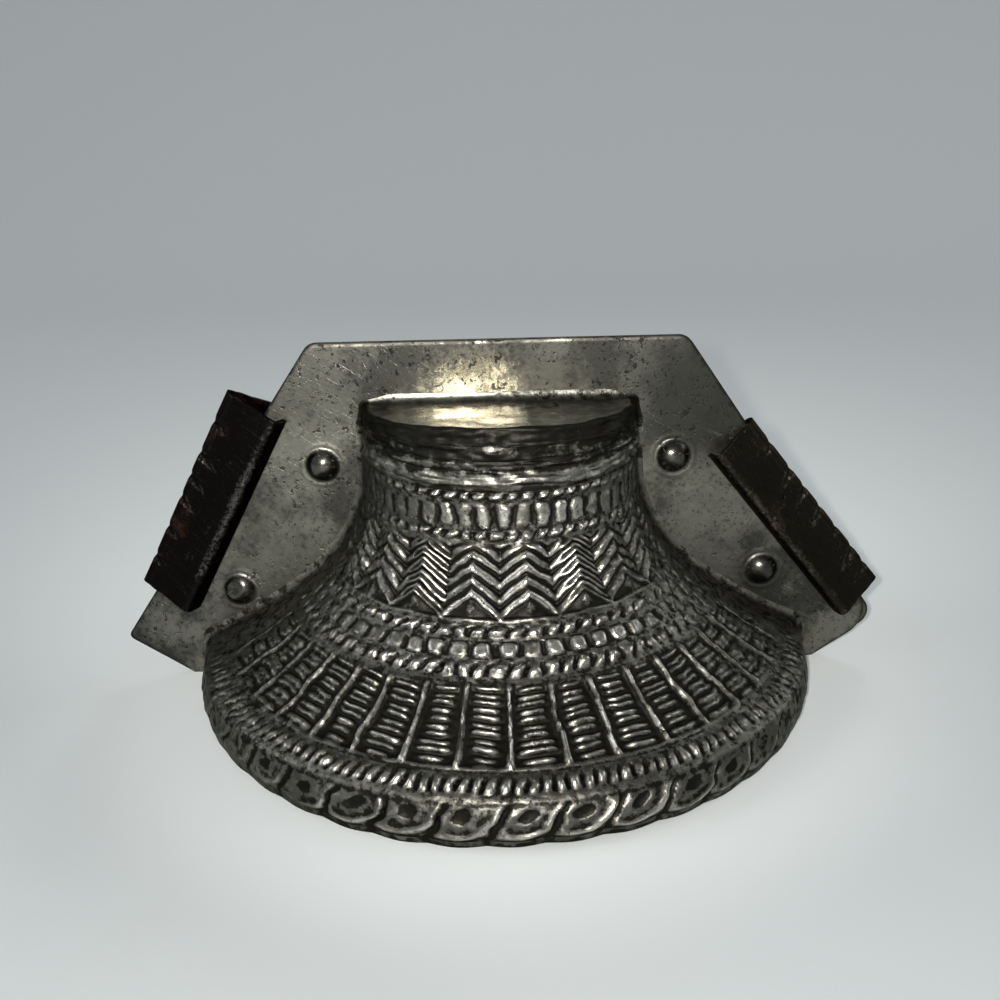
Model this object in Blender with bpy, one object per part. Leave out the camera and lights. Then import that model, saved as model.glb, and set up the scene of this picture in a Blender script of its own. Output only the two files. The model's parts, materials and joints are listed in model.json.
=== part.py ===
# Two-piece pressed tin mould for a chocolate basket, held shut by two spring steel clips.
# It stands on its open rim, with the foot of the basket on top.
# X runs along the flange, Y through the two halves, Z up. The table is Z = 0.

import math

import bmesh
import bpy
from mathutils import Matrix, Vector

MM = 0.001

# Sheet and clearances
SHEET = 0.6 * MM
SEAM_GAP = 0.3 * MM
CUT_THROUGH = 1.0 * MM

# Flange, a flat sheet round each half, lying in the plane Y = 0
FLANGE_HEIGHT = 66.9 * MM
FLANGE_TOP_WIDTH = 70.0 * MM
FLANGE_WIDTH = 150.6 * MM
FLANGE_CORNER_HEIGHT = 8.5 * MM
FLANGE_BASE_WIDTH = 126.0 * MM
TOP_CORNER_RADIUS = 3.0 * MM
LOW_CORNER_RADIUS = 0.8 * MM

# Wall of the basket: a straight foot that flares down to the rim
FOOT_RADIUS = 25.7 * MM
SHOULDER_RADIUS = 58.2 * MM
RIM_RADIUS = 59.3 * MM
RIM_BULGE = 0.9 * MM
FLARE_START = 45.0 * MM
FLARE_POWER = 2.37

# Bands of the pattern, from the rim up; together they are the height of the basket
RIM_FOOT_BAND = 1.4 * MM
BRAID_BAND = 7.2 * MM
LOW_ROPE_BAND = 1.9 * MM
PANEL_BAND = 8.3 * MM
PANEL_ROPE_BAND = 2.4 * MM
SMALL_PAD_BAND = 2.2 * MM
MIDDLE_ROPE_BAND = 2.0 * MM
HERRINGBONE_BAND = 12.0 * MM
UPPER_ROPE_BAND = 2.2 * MM
PAD_BAND = 4.8 * MM
TOP_ROPE_BAND = 2.0 * MM
HOOP_BAND = 3.6 * MM
NARROW_BAND = 1.7 * MM
WIDE_BAND = 2.6 * MM
END_BAND = 3.5 * MM

# Relief: how far each pattern stands out, and how often it repeats round one half
ROPE_RELIEF = 0.6 * MM
PAD_RELIEF = 0.6 * MM
PANEL_RELIEF = 0.8 * MM
HERRINGBONE_RELIEF = 0.5 * MM
BRAID_RELIEF = 1.2 * MM
HOOP_RELIEF = 0.9 * MM
STEP_RELIEF = 0.35 * MM
STEP_GROOVE = 0.8 * MM
PANEL_RIDGE_WIDTH = 1.4 * MM
BRAID_LEAN = 3.2 * MM
HERRINGBONE_RISE = 2.4 * MM
PANEL_COUNT = 19
HERRINGBONE_ARMS = 19
HERRINGBONE_LINES = 7
BRAID_COUNT = 20
PAD_COUNT = 24
SMALL_PAD_COUNT = 28
ROPE_SIDES = 44
FOOT_SIDES = 40
CAVITY_SIDES = 36
FLARE_STEPS = 10
RIM_STEPS = 4

# Round domes that locate one half in the other
DOME_RADIUS = 3.15 * MM
DOME_HEIGHT = 1.8 * MM
DOME_PLACES = (
    (-33.8 * MM, 43.6 * MM),
    (33.0 * MM, 43.8 * MM),
    (-52.0 * MM, 18.2 * MM),
    (51.4 * MM, 19.7 * MM),
)
DOME_SIDES = 18
DOME_RINGS = 4

# Clips: folded spring steel, slipped over the slanted edges of both flanges
CLIP_SHEET = 0.7 * MM
CLIP_LENGTH = 43.0 * MM
CLIP_FOLD_SIDES = 8
CLIP_GRIP_GAP = 0.3 * MM
CLIP_FOLD_GAP = 0.15 * MM
# Each clip: depth from fold to lip, how far its crest stands off the seam, width of its lip,
# place of its middle down the edge, how far the nearer end of its fold is from its seat on the
# edge, and its turn, in degrees, from that edge
LEFT_CLIP = {
    "depth": 12.3 * MM,
    "half_opening": 5.9 * MM,
    "lip_width": 1.6 * MM,
    "down": 37.1 * MM,
    "unseated": 1.8 * MM,
    "turn": 6.4,
}
RIGHT_CLIP = {
    "depth": 10.8 * MM,
    "half_opening": 5.6 * MM,
    "lip_width": 0.9 * MM,
    "down": 42.3 * MM,
    "unseated": 0.0,
    "turn": -4.1,
}

HALF_TURN = math.pi
QUARTER_TURN = math.pi / 2
SMOOTH_ANGLE = math.radians(35)


def clear_scene():
    for item in list(bpy.data.objects):
        bpy.data.objects.remove(item, do_unlink=True)


def metal(name, colour, roughness):
    material = bpy.data.materials.new(name)
    material.use_nodes = True
    shader = material.node_tree.nodes["Principled BSDF"]
    shader.inputs["Base Color"].default_value = (*colour, 1.0)
    shader.inputs["Roughness"].default_value = roughness
    shader.inputs["Metallic"].default_value = 1.0
    return material


def finish_mesh(name, shape, material):
    """Turn a closed bmesh into a named object with its faces pointing out."""
    bmesh.ops.recalc_face_normals(shape, faces=shape.faces)
    mesh = bpy.data.meshes.new(name)
    shape.to_mesh(mesh)
    shape.free()
    mesh.shade_smooth()
    mesh.set_sharp_from_angle(angle=SMOOTH_ANGLE)
    mesh.materials.append(material)
    item = bpy.data.objects.new(name, mesh)
    bpy.context.scene.collection.objects.link(item)
    return item


def combine(item, tool, operation):
    modifier = item.modifiers.new(tool.name, "BOOLEAN")
    modifier.operation = operation
    modifier.solver = "EXACT"
    modifier.object = tool
    tool.hide_render = True
    tool.display_type = "WIRE"


def keep_cuts(item):
    """Make the result of the Booleans the object's own mesh, with its corners marked sharp."""
    view = bpy.context.evaluated_depsgraph_get()
    mesh = bpy.data.meshes.new_from_object(item.evaluated_get(view))
    tools = [modifier.object for modifier in item.modifiers]
    item.modifiers.clear()
    item.data = mesh
    for tool in tools:
        bpy.data.objects.remove(tool, do_unlink=True)
    mesh.shade_smooth()
    mesh.set_sharp_from_angle(angle=SMOOTH_ANGLE)


def prism(outline, start, reach):
    """A closed solid from a flat outline of (x, z) points, from y = start to start + reach."""
    shape = bmesh.new()
    front = [shape.verts.new((x, start, z)) for x, z in outline]
    back = [shape.verts.new((x, start + reach, z)) for x, z in outline]
    shape.faces.new(front)
    shape.faces.new(back)
    for index in range(len(outline)):
        after = (index + 1) % len(outline)
        shape.faces.new((front[index], front[after], back[after], back[index]))
    return shape


def rounded(corner, before, after, radius, steps=4):
    """Points of the arc that rounds one corner of an outline."""
    corner, before, after = Vector(corner), Vector(before), Vector(after)
    towards_before = (before - corner).normalized()
    towards_after = (after - corner).normalized()
    half_angle = towards_before.angle(towards_after) / 2
    centre = corner + (towards_before + towards_after).normalized() * radius / math.sin(half_angle)
    first = corner + towards_before * radius / math.tan(half_angle) - centre
    last = corner + towards_after * radius / math.tan(half_angle) - centre
    sweep = first.angle_signed(last)
    arc = []
    for step in range(steps + 1):
        arc.append(tuple(centre + Matrix.Rotation(-sweep * step / steps, 2) @ first))
    return arc


# The slanted edge of the flange, which both clips hold
EDGE_TOP = Vector((FLANGE_TOP_WIDTH / 2, FLANGE_HEIGHT))
EDGE_LOW = Vector((FLANGE_WIDTH / 2, FLANGE_CORNER_HEIGHT))
EDGE_DOWN = (EDGE_LOW - EDGE_TOP).normalized()
EDGE_OUT = Vector((-EDGE_DOWN.y, EDGE_DOWN.x))


def flange_outline():
    foot = Vector((FLANGE_BASE_WIDTH / 2, 0.0))
    across = Vector((-EDGE_TOP.x, EDGE_TOP.y))
    right = [tuple(foot)]
    right += rounded(EDGE_LOW, foot, EDGE_TOP, LOW_CORNER_RADIUS)
    right += rounded(EDGE_TOP, EDGE_LOW, across, TOP_CORNER_RADIUS)
    left = [(-x, z) for x, z in reversed(right)]
    return right + left


BAND_HEIGHTS = {
    "rim_foot": RIM_FOOT_BAND,
    "braid": BRAID_BAND,
    "low_rope": LOW_ROPE_BAND,
    "panels": PANEL_BAND,
    "panel_rope": PANEL_ROPE_BAND,
    "small_pads": SMALL_PAD_BAND,
    "middle_rope": MIDDLE_ROPE_BAND,
    "herringbone": HERRINGBONE_BAND,
    "upper_rope": UPPER_ROPE_BAND,
    "pads": PAD_BAND,
    "top_rope": TOP_ROPE_BAND,
    "hoop": HOOP_BAND,
    "narrow": NARROW_BAND,
    "wide": WIDE_BAND,
    "end": END_BAND,
}
BASKET_HEIGHT = sum(BAND_HEIGHTS.values())
RIM_TOP = RIM_FOOT_BAND + BRAID_BAND


def band_limits(name):
    """Lowest and highest point of a band."""
    low = 0.0
    for band, height in BAND_HEIGHTS.items():
        if band == name:
            return low, low + height
        low += height
    raise KeyError(name)


def wall_radius(z):
    """Radius of the plain wall, without its relief, at height z."""
    if z <= RIM_TOP:
        share = (RIM_TOP - z) / RIM_TOP
        straight = SHOULDER_RADIUS + (RIM_RADIUS - SHOULDER_RADIUS) * share
        return straight + RIM_BULGE * math.sin(HALF_TURN * share)
    drop = max(FLARE_START - z, 0.0) / (FLARE_START - RIM_TOP)
    return FOOT_RADIUS + (SHOULDER_RADIUS - FOOT_RADIUS) * drop ** FLARE_POWER


def lifted(z, lift):
    """Radius and height of the point that stands lift above the plain wall at height z."""
    step = 0.2 * MM
    rise = wall_radius(z + step / 2) - wall_radius(z - step / 2)
    normal = Vector((step, -rise)).normalized()
    return wall_radius(z) + normal.x * lift, z + normal.y * lift


def even_angles(count):
    return [-QUARTER_TURN + HALF_TURN * index / count for index in range(count + 1)]


def plain_row(z, sides, lift=0.0):
    return [(angle, z, lift) for angle in even_angles(sides)]


def rope_rows(name):
    """A round cord: its crest and the two creases beside it, but not the band's lower edge."""
    low, high = band_limits(name)
    return [
        plain_row(high, ROPE_SIDES),
        plain_row(low + 0.7 * (high - low), ROPE_SIDES, 0.8 * ROPE_RELIEF),
        plain_row(low + 0.3 * (high - low), ROPE_SIDES, 0.8 * ROPE_RELIEF),
    ]


def pad_rows(name, count):
    """A row of raised pads with a crease between each two."""
    low, high = band_limits(name)
    rows = [plain_row(high, ROPE_SIDES)]
    for share in (0.75, 0.25):
        row = []
        for index, angle in enumerate(even_angles(2 * count)):
            row.append((angle, low + share * (high - low), PAD_RELIEF * (index % 2)))
        rows.append(row)
    return rows


def panel_rows():
    """Flat panels between thin upright ridges, with a ridge at the middle of the half."""
    low, high = band_limits("panels")
    rows = []
    for z in (high, low):
        half_ridge = PANEL_RIDGE_WIDTH / 2 / wall_radius(z)
        pitch = HALF_TURN / PANEL_COUNT
        row = [(-QUARTER_TURN, z, 0.0)]
        for index in range(PANEL_COUNT):
            ridge = (index - (PANEL_COUNT - 1) / 2) * pitch
            row += [(ridge - half_ridge, z, 0.0), (ridge, z, PANEL_RELIEF)]
            row += [(ridge + half_ridge, z, 0.0)]
        rows.append(row + [(QUARTER_TURN, z, 0.0)])
    return rows


def herringbone_rows():
    """Lines of relief that rise and fall from one arm to the next."""
    low, high = band_limits("herringbone")
    room = high - low - HERRINGBONE_RISE
    rows = [plain_row(high, ROPE_SIDES)]
    for line in range(2 * HERRINGBONE_LINES + 1):
        middle = high - HERRINGBONE_RISE / 2 - room * (line + 0.5) / (2 * HERRINGBONE_LINES + 1)
        lift = HERRINGBONE_RELIEF * (line % 2)
        row = []
        for index, angle in enumerate(even_angles(HERRINGBONE_ARMS)):
            side = -1 if index % 2 else 1
            row.append((angle, middle + side * HERRINGBONE_RISE / 2, lift))
        rows.append(row)
    return rows


def braid_rows():
    """Leaning lobes of the twisted rim, and the plain band under them."""
    low, high = band_limits("braid")
    pitch = HALF_TURN / BRAID_COUNT
    rows = [plain_row(high, ROPE_SIDES)]
    for share, fullness in ((0.82, 0.75), (0.5, 1.0), (0.18, 0.75)):
        lean = BRAID_LEAN * (share - 0.5) / RIM_RADIUS
        angles = [-QUARTER_TURN]
        for index in range(-4, 4 * BRAID_COUNT + 5):
            angle = -QUARTER_TURN + pitch * index / 4 + lean
            if abs(angle) < QUARTER_TURN - pitch / 16:
                angles.append(angle)
        angles.append(QUARTER_TURN)
        row = []
        for angle in angles:
            wave = abs(math.sin(HALF_TURN * (angle - lean + QUARTER_TURN) / pitch))
            row.append((angle, low + share * (high - low), BRAID_RELIEF * fullness * wave))
        rows.append(row)
    rows.append(plain_row(low, ROPE_SIDES))
    rows.append(plain_row(0.0, ROPE_SIDES))
    return rows


def foot_rows():
    """Stepped hoops of the foot, from its flat end down."""
    rows = [plain_row(BASKET_HEIGHT, FOOT_SIDES)]
    for name in ("end", "wide", "narrow"):
        low, high = band_limits(name)
        rows.append(plain_row(high - STEP_GROOVE, FOOT_SIDES, STEP_RELIEF))
        rows.append(plain_row(low + STEP_GROOVE / 2, FOOT_SIDES, STEP_RELIEF))
        rows.append(plain_row(low, FOOT_SIDES))
    low, high = band_limits("hoop")
    rows.append(plain_row(low + 0.7 * (high - low), FOOT_SIDES, 0.8 * HOOP_RELIEF))
    rows.append(plain_row(low + 0.4 * (high - low), FOOT_SIDES, HOOP_RELIEF))
    return rows


def wall_rows():
    return (
        foot_rows()
        + rope_rows("top_rope")
        + pad_rows("pads", PAD_COUNT)
        + rope_rows("upper_rope")
        + herringbone_rows()
        + rope_rows("middle_rope")
        + pad_rows("small_pads", SMALL_PAD_COUNT)
        + rope_rows("panel_rope")
        + panel_rows()
        + rope_rows("low_rope")
        + braid_rows()
    )


def stitch(shape, upper, lower):
    """Fill the strip between two rows of (angle, vertex), which may differ in number."""
    above = below = 0
    while above < len(upper) - 1 or below < len(lower) - 1:
        at_end = below == len(lower) - 1
        if at_end or (above < len(upper) - 1 and upper[above + 1][0] <= lower[below + 1][0]):
            shape.faces.new((upper[above][1], lower[below][1], upper[above + 1][1]))
            above += 1
        else:
            shape.faces.new((upper[above][1], lower[below][1], lower[below + 1][1]))
            below += 1


def half_round(name, rows, side, centre_y, back_y, material):
    """A closed solid from rows of (angle, radius, height) round one half of the basket."""
    shape = bmesh.new()
    strips = []
    for row in rows:
        strip = []
        for angle, radius, height in row:
            place = (radius * math.sin(angle), centre_y + side * radius * math.cos(angle), height)
            strip.append((angle, shape.verts.new(place)))
        if back_y != centre_y:
            first, last = strip[0][1].co, strip[-1][1].co
            strip.insert(0, (-HALF_TURN, shape.verts.new((first.x, back_y, first.z))))
            strip.append((HALF_TURN, shape.verts.new((last.x, back_y, last.z))))
        strips.append(strip)
    for upper, lower in zip(strips, strips[1:]):
        stitch(shape, upper, lower)
    shape.faces.new([vertex for _, vertex in strips[0]])
    shape.faces.new([vertex for _, vertex in strips[-1]])
    left = [strip[0][1] for strip in strips]
    right = [strip[-1][1] for strip in reversed(strips)]
    shape.faces.new(left + right)
    return finish_mesh(name, shape, material)


def cavity_rows():
    """The space inside one half: the plain wall moved in by the sheet, open below the rim."""
    flare = FLARE_START - RIM_TOP
    heights = [FLARE_START - flare * step / FLARE_STEPS for step in range(FLARE_STEPS)]
    heights += [RIM_TOP - RIM_TOP * step / RIM_STEPS for step in range(RIM_STEPS)]
    angles = even_angles(CAVITY_SIDES)
    rows = [[(angle, FOOT_RADIUS - SHEET, BASKET_HEIGHT - SHEET) for angle in angles]]
    for z in heights:
        radius, height = lifted(z, -SHEET)
        rows.append([(angle, radius, height) for angle in angles])
    for height in (0.0, -CUT_THROUGH):
        rows.append([(angle, RIM_RADIUS - SHEET, height) for angle in angles])
    return rows


def dome_cap(name, radius, centre, base_y, material):
    """The part of a ball that stands towards -Y of the plane y = base_y."""
    widest = math.acos((centre.y - base_y) / radius)
    shape = bmesh.new()
    rings = []
    for ring in range(1, DOME_RINGS + 1):
        tilt = widest * ring / DOME_RINGS
        loop = []
        for index in range(DOME_SIDES):
            turn = 2 * math.pi * index / DOME_SIDES
            spread = math.sin(tilt) * Vector((math.cos(turn), 0.0, math.sin(turn)))
            loop.append(shape.verts.new(centre + radius * (spread - Vector((0, math.cos(tilt), 0)))))
        rings.append(loop)
    tip = shape.verts.new(centre - Vector((0, radius, 0)))
    for index in range(DOME_SIDES):
        after = (index + 1) % DOME_SIDES
        shape.faces.new((tip, rings[0][index], rings[0][after]))
        for inner, outer in zip(rings, rings[1:]):
            shape.faces.new((inner[index], outer[index], outer[after], inner[after]))
    shape.faces.new(rings[-1])
    return finish_mesh(name, shape, material)


def add_domes(half, name, face_y, material):
    """Domes pressed towards -Y in the flange whose -Y face is at face_y."""
    front_face = -SEAM_GAP / 2 - SHEET
    ball = (DOME_RADIUS ** 2 + DOME_HEIGHT ** 2) / (2 * DOME_HEIGHT)
    centre_y = front_face - DOME_HEIGHT + ball
    outer = ball - (face_y - front_face)
    for index, (x, z) in enumerate(DOME_PLACES):
        centre = Vector((x, centre_y, z))
        cap = dome_cap(f"{name}_dome_{index}", outer, centre, face_y + SHEET / 2, material)
        combine(half, cap, "UNION")
    for index, (x, z) in enumerate(DOME_PLACES):
        centre = Vector((x, centre_y, z))
        back_y = face_y + SHEET + CUT_THROUGH
        hollow = dome_cap(f"{name}_hollow_{index}", outer - SHEET, centre, back_y, material)
        combine(half, hollow, "DIFFERENCE")


def mould_half(name, side, material):
    """One pressed sheet: side is -1 for the half towards the viewer and 1 for the other."""
    seam_y = side * SEAM_GAP / 2
    flange = finish_mesh(name, prism(flange_outline(), seam_y, side * SHEET), material)
    centre_y = seam_y + side * SHEET / 2
    rows = [[(angle, *lifted(z, lift)) for angle, z, lift in row] for row in wall_rows()]
    wall = half_round(f"{name}_wall", rows, side, centre_y, centre_y, material)
    back_y = seam_y - side * CUT_THROUGH
    cavity = half_round(f"{name}_cavity", cavity_rows(), side, centre_y, back_y, material)
    combine(flange, wall, "UNION")
    combine(flange, cavity, "DIFFERENCE")
    add_domes(flange, name, min(seam_y, seam_y + side * SHEET), material)
    keep_cuts(flange)


# Both flanges together are what a clip grips; its fold is bent to take their edges
HALF_STACK = SEAM_GAP / 2 + SHEET
CLIP_FOLD_RADIUS = HALF_STACK + CLIP_FOLD_GAP + CLIP_SHEET / 2


def clip_seat():
    """Room between the flange edge and the outside of a fold that is pushed right home."""
    inside = CLIP_FOLD_RADIUS - CLIP_SHEET / 2
    corner = inside - math.sqrt(inside ** 2 - HALF_STACK ** 2)
    return corner + CLIP_GRIP_GAP + CLIP_SHEET


def clip_section(depth, half_opening, lip_width):
    """Centre line of the folded sheet, from one lip round the fold to the other, as (out, off)."""
    grip = HALF_STACK + CLIP_GRIP_GAP + CLIP_SHEET / 2
    fold_centre = -CLIP_SHEET / 2 - CLIP_FOLD_RADIUS
    lip = Vector((CLIP_SHEET / 2 - depth, grip))
    crest = Vector((lip.x + lip_width, half_opening - CLIP_SHEET / 2))
    half = []
    for step in range(CLIP_FOLD_SIDES // 2 + 1):
        turn = QUARTER_TURN * step / (CLIP_FOLD_SIDES // 2)
        round_part = CLIP_FOLD_RADIUS * Vector((math.cos(turn), math.sin(turn)))
        half.append(Vector((fold_centre, 0.0)) + round_part)
    half += [crest, lip]
    other = [Vector((point.x, -point.y)) for point in reversed(half[1:])]
    return other + half


def thickened(line, thickness):
    """Outline of a strip of even thickness laid along a centre line."""
    left, right = [], []
    for index, point in enumerate(line):
        before = line[max(index - 1, 0)]
        after = line[min(index + 1, len(line) - 1)]
        along_in = (point - before).normalized() if index else (after - point).normalized()
        along_out = (after - point).normalized() if index < len(line) - 1 else along_in
        along = (along_in + along_out).normalized()
        across = Vector((-along.y, along.x)) / max(along.dot(along_in), 0.5)
        left.append(point + across * thickness / 2)
        right.append(point - across * thickness / 2)
    return left + list(reversed(right))


def spring_clip(name, side, sizes, material):
    """A clip modelled along its own axes, then set on the slanted edge of its side."""
    section = clip_section(sizes["depth"], sizes["half_opening"], sizes["lip_width"])
    outline = [(point.x, point.y) for point in thickened(section, CLIP_SHEET)]
    shape = prism(outline, -CLIP_LENGTH / 2, CLIP_LENGTH)
    clip = finish_mesh(name, shape, material)
    turn = math.radians(sizes["turn"])
    stand_out = clip_seat() + sizes["unseated"] + CLIP_LENGTH / 2 * abs(math.sin(turn))
    fold = EDGE_TOP + EDGE_DOWN * sizes["down"] + EDGE_OUT * stand_out
    out = Matrix.Rotation(-turn, 2) @ EDGE_OUT
    down = Matrix.Rotation(-turn, 2) @ EDGE_DOWN
    axis_out = Vector((side * out.x, 0.0, out.y))
    axis_down = Vector((side * down.x, 0.0, down.y))
    axis_off = axis_out.cross(axis_down)
    frame = Matrix((axis_out, axis_down, axis_off)).transposed().to_4x4()
    clip.matrix_world = Matrix.Translation((side * fold.x, 0.0, fold.y)) @ frame


clear_scene()
tin = metal("aged_tin", (0.33, 0.32, 0.29), 0.42)
rusty_steel = metal("rusty_spring_steel", (0.09, 0.065, 0.05), 0.6)
mould_half("front_half", -1, tin)
mould_half("back_half", 1, tin)
spring_clip("left_clip", -1, LEFT_CLIP, rusty_steel)
spring_clip("right_clip", 1, RIGHT_CLIP, rusty_steel)
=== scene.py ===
# %% [markdown]
# # A tin mould for a chocolate basket
# The real object is two pressed sheets of tin, set face to face and held by two folded spring
# clips. It stands on its open rim, so the foot of the basket is on top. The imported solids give
# the sizes and the motion. This script dresses them: every sheet is made again with its full
# relief, and every metal gets the tarnish, rust and rubbed crests of an old mould.

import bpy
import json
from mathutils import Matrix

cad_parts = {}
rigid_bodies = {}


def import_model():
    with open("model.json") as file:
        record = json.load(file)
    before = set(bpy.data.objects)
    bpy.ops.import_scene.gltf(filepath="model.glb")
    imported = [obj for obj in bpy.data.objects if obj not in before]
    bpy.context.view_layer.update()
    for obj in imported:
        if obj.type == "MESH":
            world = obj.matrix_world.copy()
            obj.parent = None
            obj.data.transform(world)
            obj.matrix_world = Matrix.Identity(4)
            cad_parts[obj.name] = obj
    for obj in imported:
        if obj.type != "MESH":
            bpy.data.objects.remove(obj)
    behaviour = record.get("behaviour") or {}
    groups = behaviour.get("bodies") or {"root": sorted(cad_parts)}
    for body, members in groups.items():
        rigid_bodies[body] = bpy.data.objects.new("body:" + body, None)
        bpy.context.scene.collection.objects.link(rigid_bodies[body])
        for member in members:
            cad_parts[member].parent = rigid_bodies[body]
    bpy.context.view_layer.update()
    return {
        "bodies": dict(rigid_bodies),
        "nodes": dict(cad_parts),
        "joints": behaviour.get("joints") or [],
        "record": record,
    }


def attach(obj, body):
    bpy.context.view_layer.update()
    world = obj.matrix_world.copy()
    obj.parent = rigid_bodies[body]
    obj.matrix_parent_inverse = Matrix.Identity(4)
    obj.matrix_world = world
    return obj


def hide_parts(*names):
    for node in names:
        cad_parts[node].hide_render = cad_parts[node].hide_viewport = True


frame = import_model()

# %% Tools for the rest of the script
import json
import math
from functools import partial

import bmesh
import bpy
from mathutils import Matrix, Vector, geometry, noise

MM = 0.001
HALF_TURN = math.pi
QUARTER_TURN = math.pi / 2


def new_item(name, data):
    """A new object in the scene, from a mesh, a light or a camera."""
    item = bpy.data.objects.new(name, data)
    bpy.context.scene.collection.objects.link(item)
    return item


def item_from(name, shape, material):
    """A new object from a bmesh, which is used up."""
    mesh = bpy.data.meshes.new(name)
    shape.to_mesh(mesh)
    shape.free()
    mesh.materials.append(material)
    return new_item(name, mesh)


def soft_step(value, start, end):
    """0 at start and 1 at end, with a soft S between them."""
    share = min(max((value - start) / (end - start), 0.0), 1.0)
    return share * share * (3 - 2 * share)


def rumble(x, y, z):
    """Smooth noise from about -1 to 1."""
    return noise.noise(Vector((x, y, z)))


# %% [markdown]
# ## Camera
# The photograph looks down on the mould from close by. The lens and the place of the camera were
# fitted to the corners of the flange and to the rim, so the render lies over the photograph. The
# three directions are worked out from yaw, pitch and roll, because a small roll is easier to
# read there than in Euler angles.

# %% Camera
CAMERA_PLACE = Vector((-3.24, -199.71, 109.95)) * MM
CAMERA_YAW = math.radians(0.872)
CAMERA_PITCH = math.radians(20.487)
CAMERA_ROLL = math.radians(-1.154)
CAMERA_LENS = 39.6

ahead = Vector((
    math.sin(CAMERA_YAW) * math.cos(CAMERA_PITCH),
    math.cos(CAMERA_YAW) * math.cos(CAMERA_PITCH),
    -math.sin(CAMERA_PITCH),
))
level = Vector((math.cos(CAMERA_YAW), -math.sin(CAMERA_YAW), 0.0))
upright = level.cross(ahead)
to_right = math.cos(CAMERA_ROLL) * level + math.sin(CAMERA_ROLL) * upright
to_top = -math.sin(CAMERA_ROLL) * level + math.cos(CAMERA_ROLL) * upright

camera = new_item("camera", bpy.data.cameras.new("camera"))
camera.data.lens = CAMERA_LENS
camera.data.sensor_width = 36.0
camera.data.clip_start = 0.01
turned = Matrix((to_right, to_top, -ahead)).transposed().to_4x4()
camera.matrix_world = Matrix.Translation(CAMERA_PLACE) @ turned
bpy.context.scene.camera = camera
print("Camera stands", round(CAMERA_PLACE.length / MM), "mm from the middle of the mould")

# %% [markdown]
# ## Formulas as nodes
# Both Geometry Nodes and shaders work out numbers with Math nodes. A long chain of them is hard
# to read as code, so this small class stands for one number in a tree. Python's own signs add
# the Math nodes, and a relief can then be written down like a formula on paper.


# %% A number in a node tree
class Number:
    """One value in a node tree. Arithmetic on it adds the Math nodes that work it out."""

    def __init__(self, tree, socket):
        self.tree = tree
        self.socket = socket

    def __add__(self, other):
        return work_out("ADD", self, other)

    def __sub__(self, other):
        return work_out("SUBTRACT", self, other)

    def __rsub__(self, other):
        return work_out("SUBTRACT", other, self)

    def __mul__(self, other):
        return work_out("MULTIPLY", self, other)

    def __truediv__(self, other):
        return work_out("DIVIDE", self, other)

    def __pow__(self, other):
        return work_out("POWER", self, other)

    __radd__ = __add__
    __rmul__ = __mul__


def set_input(tree, socket, value):
    """Link a Number to a socket, or write any other value into it."""
    if isinstance(value, Number):
        tree.links.new(value.socket, socket)
    else:
        socket.default_value = value


def add_node(tree, kind, inputs=None, output=0, **settings):
    """Add a node with these settings and inputs; one of its outputs comes back as a Number."""
    node = tree.nodes.new(kind)
    for label, value in settings.items():
        setattr(node, label, value)
    for label, value in (inputs or {}).items():
        set_input(tree, node.inputs[label], value)
    return Number(tree, node.outputs[output])


def work_out(operation, *values):
    """A Math node with these values, of which at least one is a Number."""
    tree = next(value.tree for value in values if isinstance(value, Number))
    return add_node(tree, "ShaderNodeMath", dict(enumerate(values)), operation=operation)


sine = partial(work_out, "SINE")
cosine = partial(work_out, "COSINE")
exponent = partial(work_out, "EXPONENT")
root = partial(work_out, "SQRT")
size_of = partial(work_out, "ABSOLUTE")
part_of_one = partial(work_out, "FRACT")
whole = partial(work_out, "FLOOR")
zigzag = partial(work_out, "PINGPONG")
least = partial(work_out, "MINIMUM")
most = partial(work_out, "MAXIMUM")
above = partial(work_out, "GREATER_THAN")


def held(value, low=0.0, high=1.0):
    """The value, but no less than low and no more than high."""
    return least(most(value, low), high)


def ease(value, start, end):
    """The same soft step as nodes."""
    given = {"Value": value, "From Min": start, "From Max": end}
    return add_node(value.tree, "ShaderNodeMapRange", given, "Result", interpolation_type="SMOOTHSTEP")


def profile(value, points):
    """A smooth curve through (value, result) points."""
    node = value.tree.nodes.new("ShaderNodeFloatCurve")
    line = node.mapping.curves[0]
    line.points[0].location = points[0]
    line.points[1].location = points[-1]
    for point in points[1:-1]:
        line.points.new(*point)
    node.mapping.update()
    set_input(value.tree, node.inputs["Value"], value)
    return Number(value.tree, node.outputs["Value"])


def chance(value, seed):
    """A number from 0 to 1 that is fixed for each whole value."""
    given = {"W": value + seed}
    return add_node(value.tree, "ShaderNodeTexWhiteNoise", given, "Value", noise_dimensions="1D")


def as_vector(x, y, z):
    """Three values as one vector; at least one of them is a Number."""
    tree = next(value.tree for value in (x, y, z) if isinstance(value, Number))
    return add_node(tree, "ShaderNodeCombineXYZ", {"X": x, "Y": y, "Z": z})


def cloud(place, scale, detail=2.0, roughness=0.5):
    """Soft noise from about 0 to 1, at a place in metres; scale is in patches per metre."""
    given = {"Vector": place, "Scale": scale, "Detail": detail, "Roughness": roughness}
    return add_node(place.tree, "ShaderNodeTexNoise", given, "Fac")


# %% [markdown]
# ## Wall of the basket
# The real wall is one sheet, drawn over a carved die: a straight foot that flares to the rim,
# with a row of beads, pads or ribs at each height. It could be sculpted, or cut from a texture
# as bump. Here each row is a fine grid made by Geometry Nodes, whose points are lifted by a
# formula. That keeps the relief real from every side, also inside, and each count and height
# stays a named size.

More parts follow.
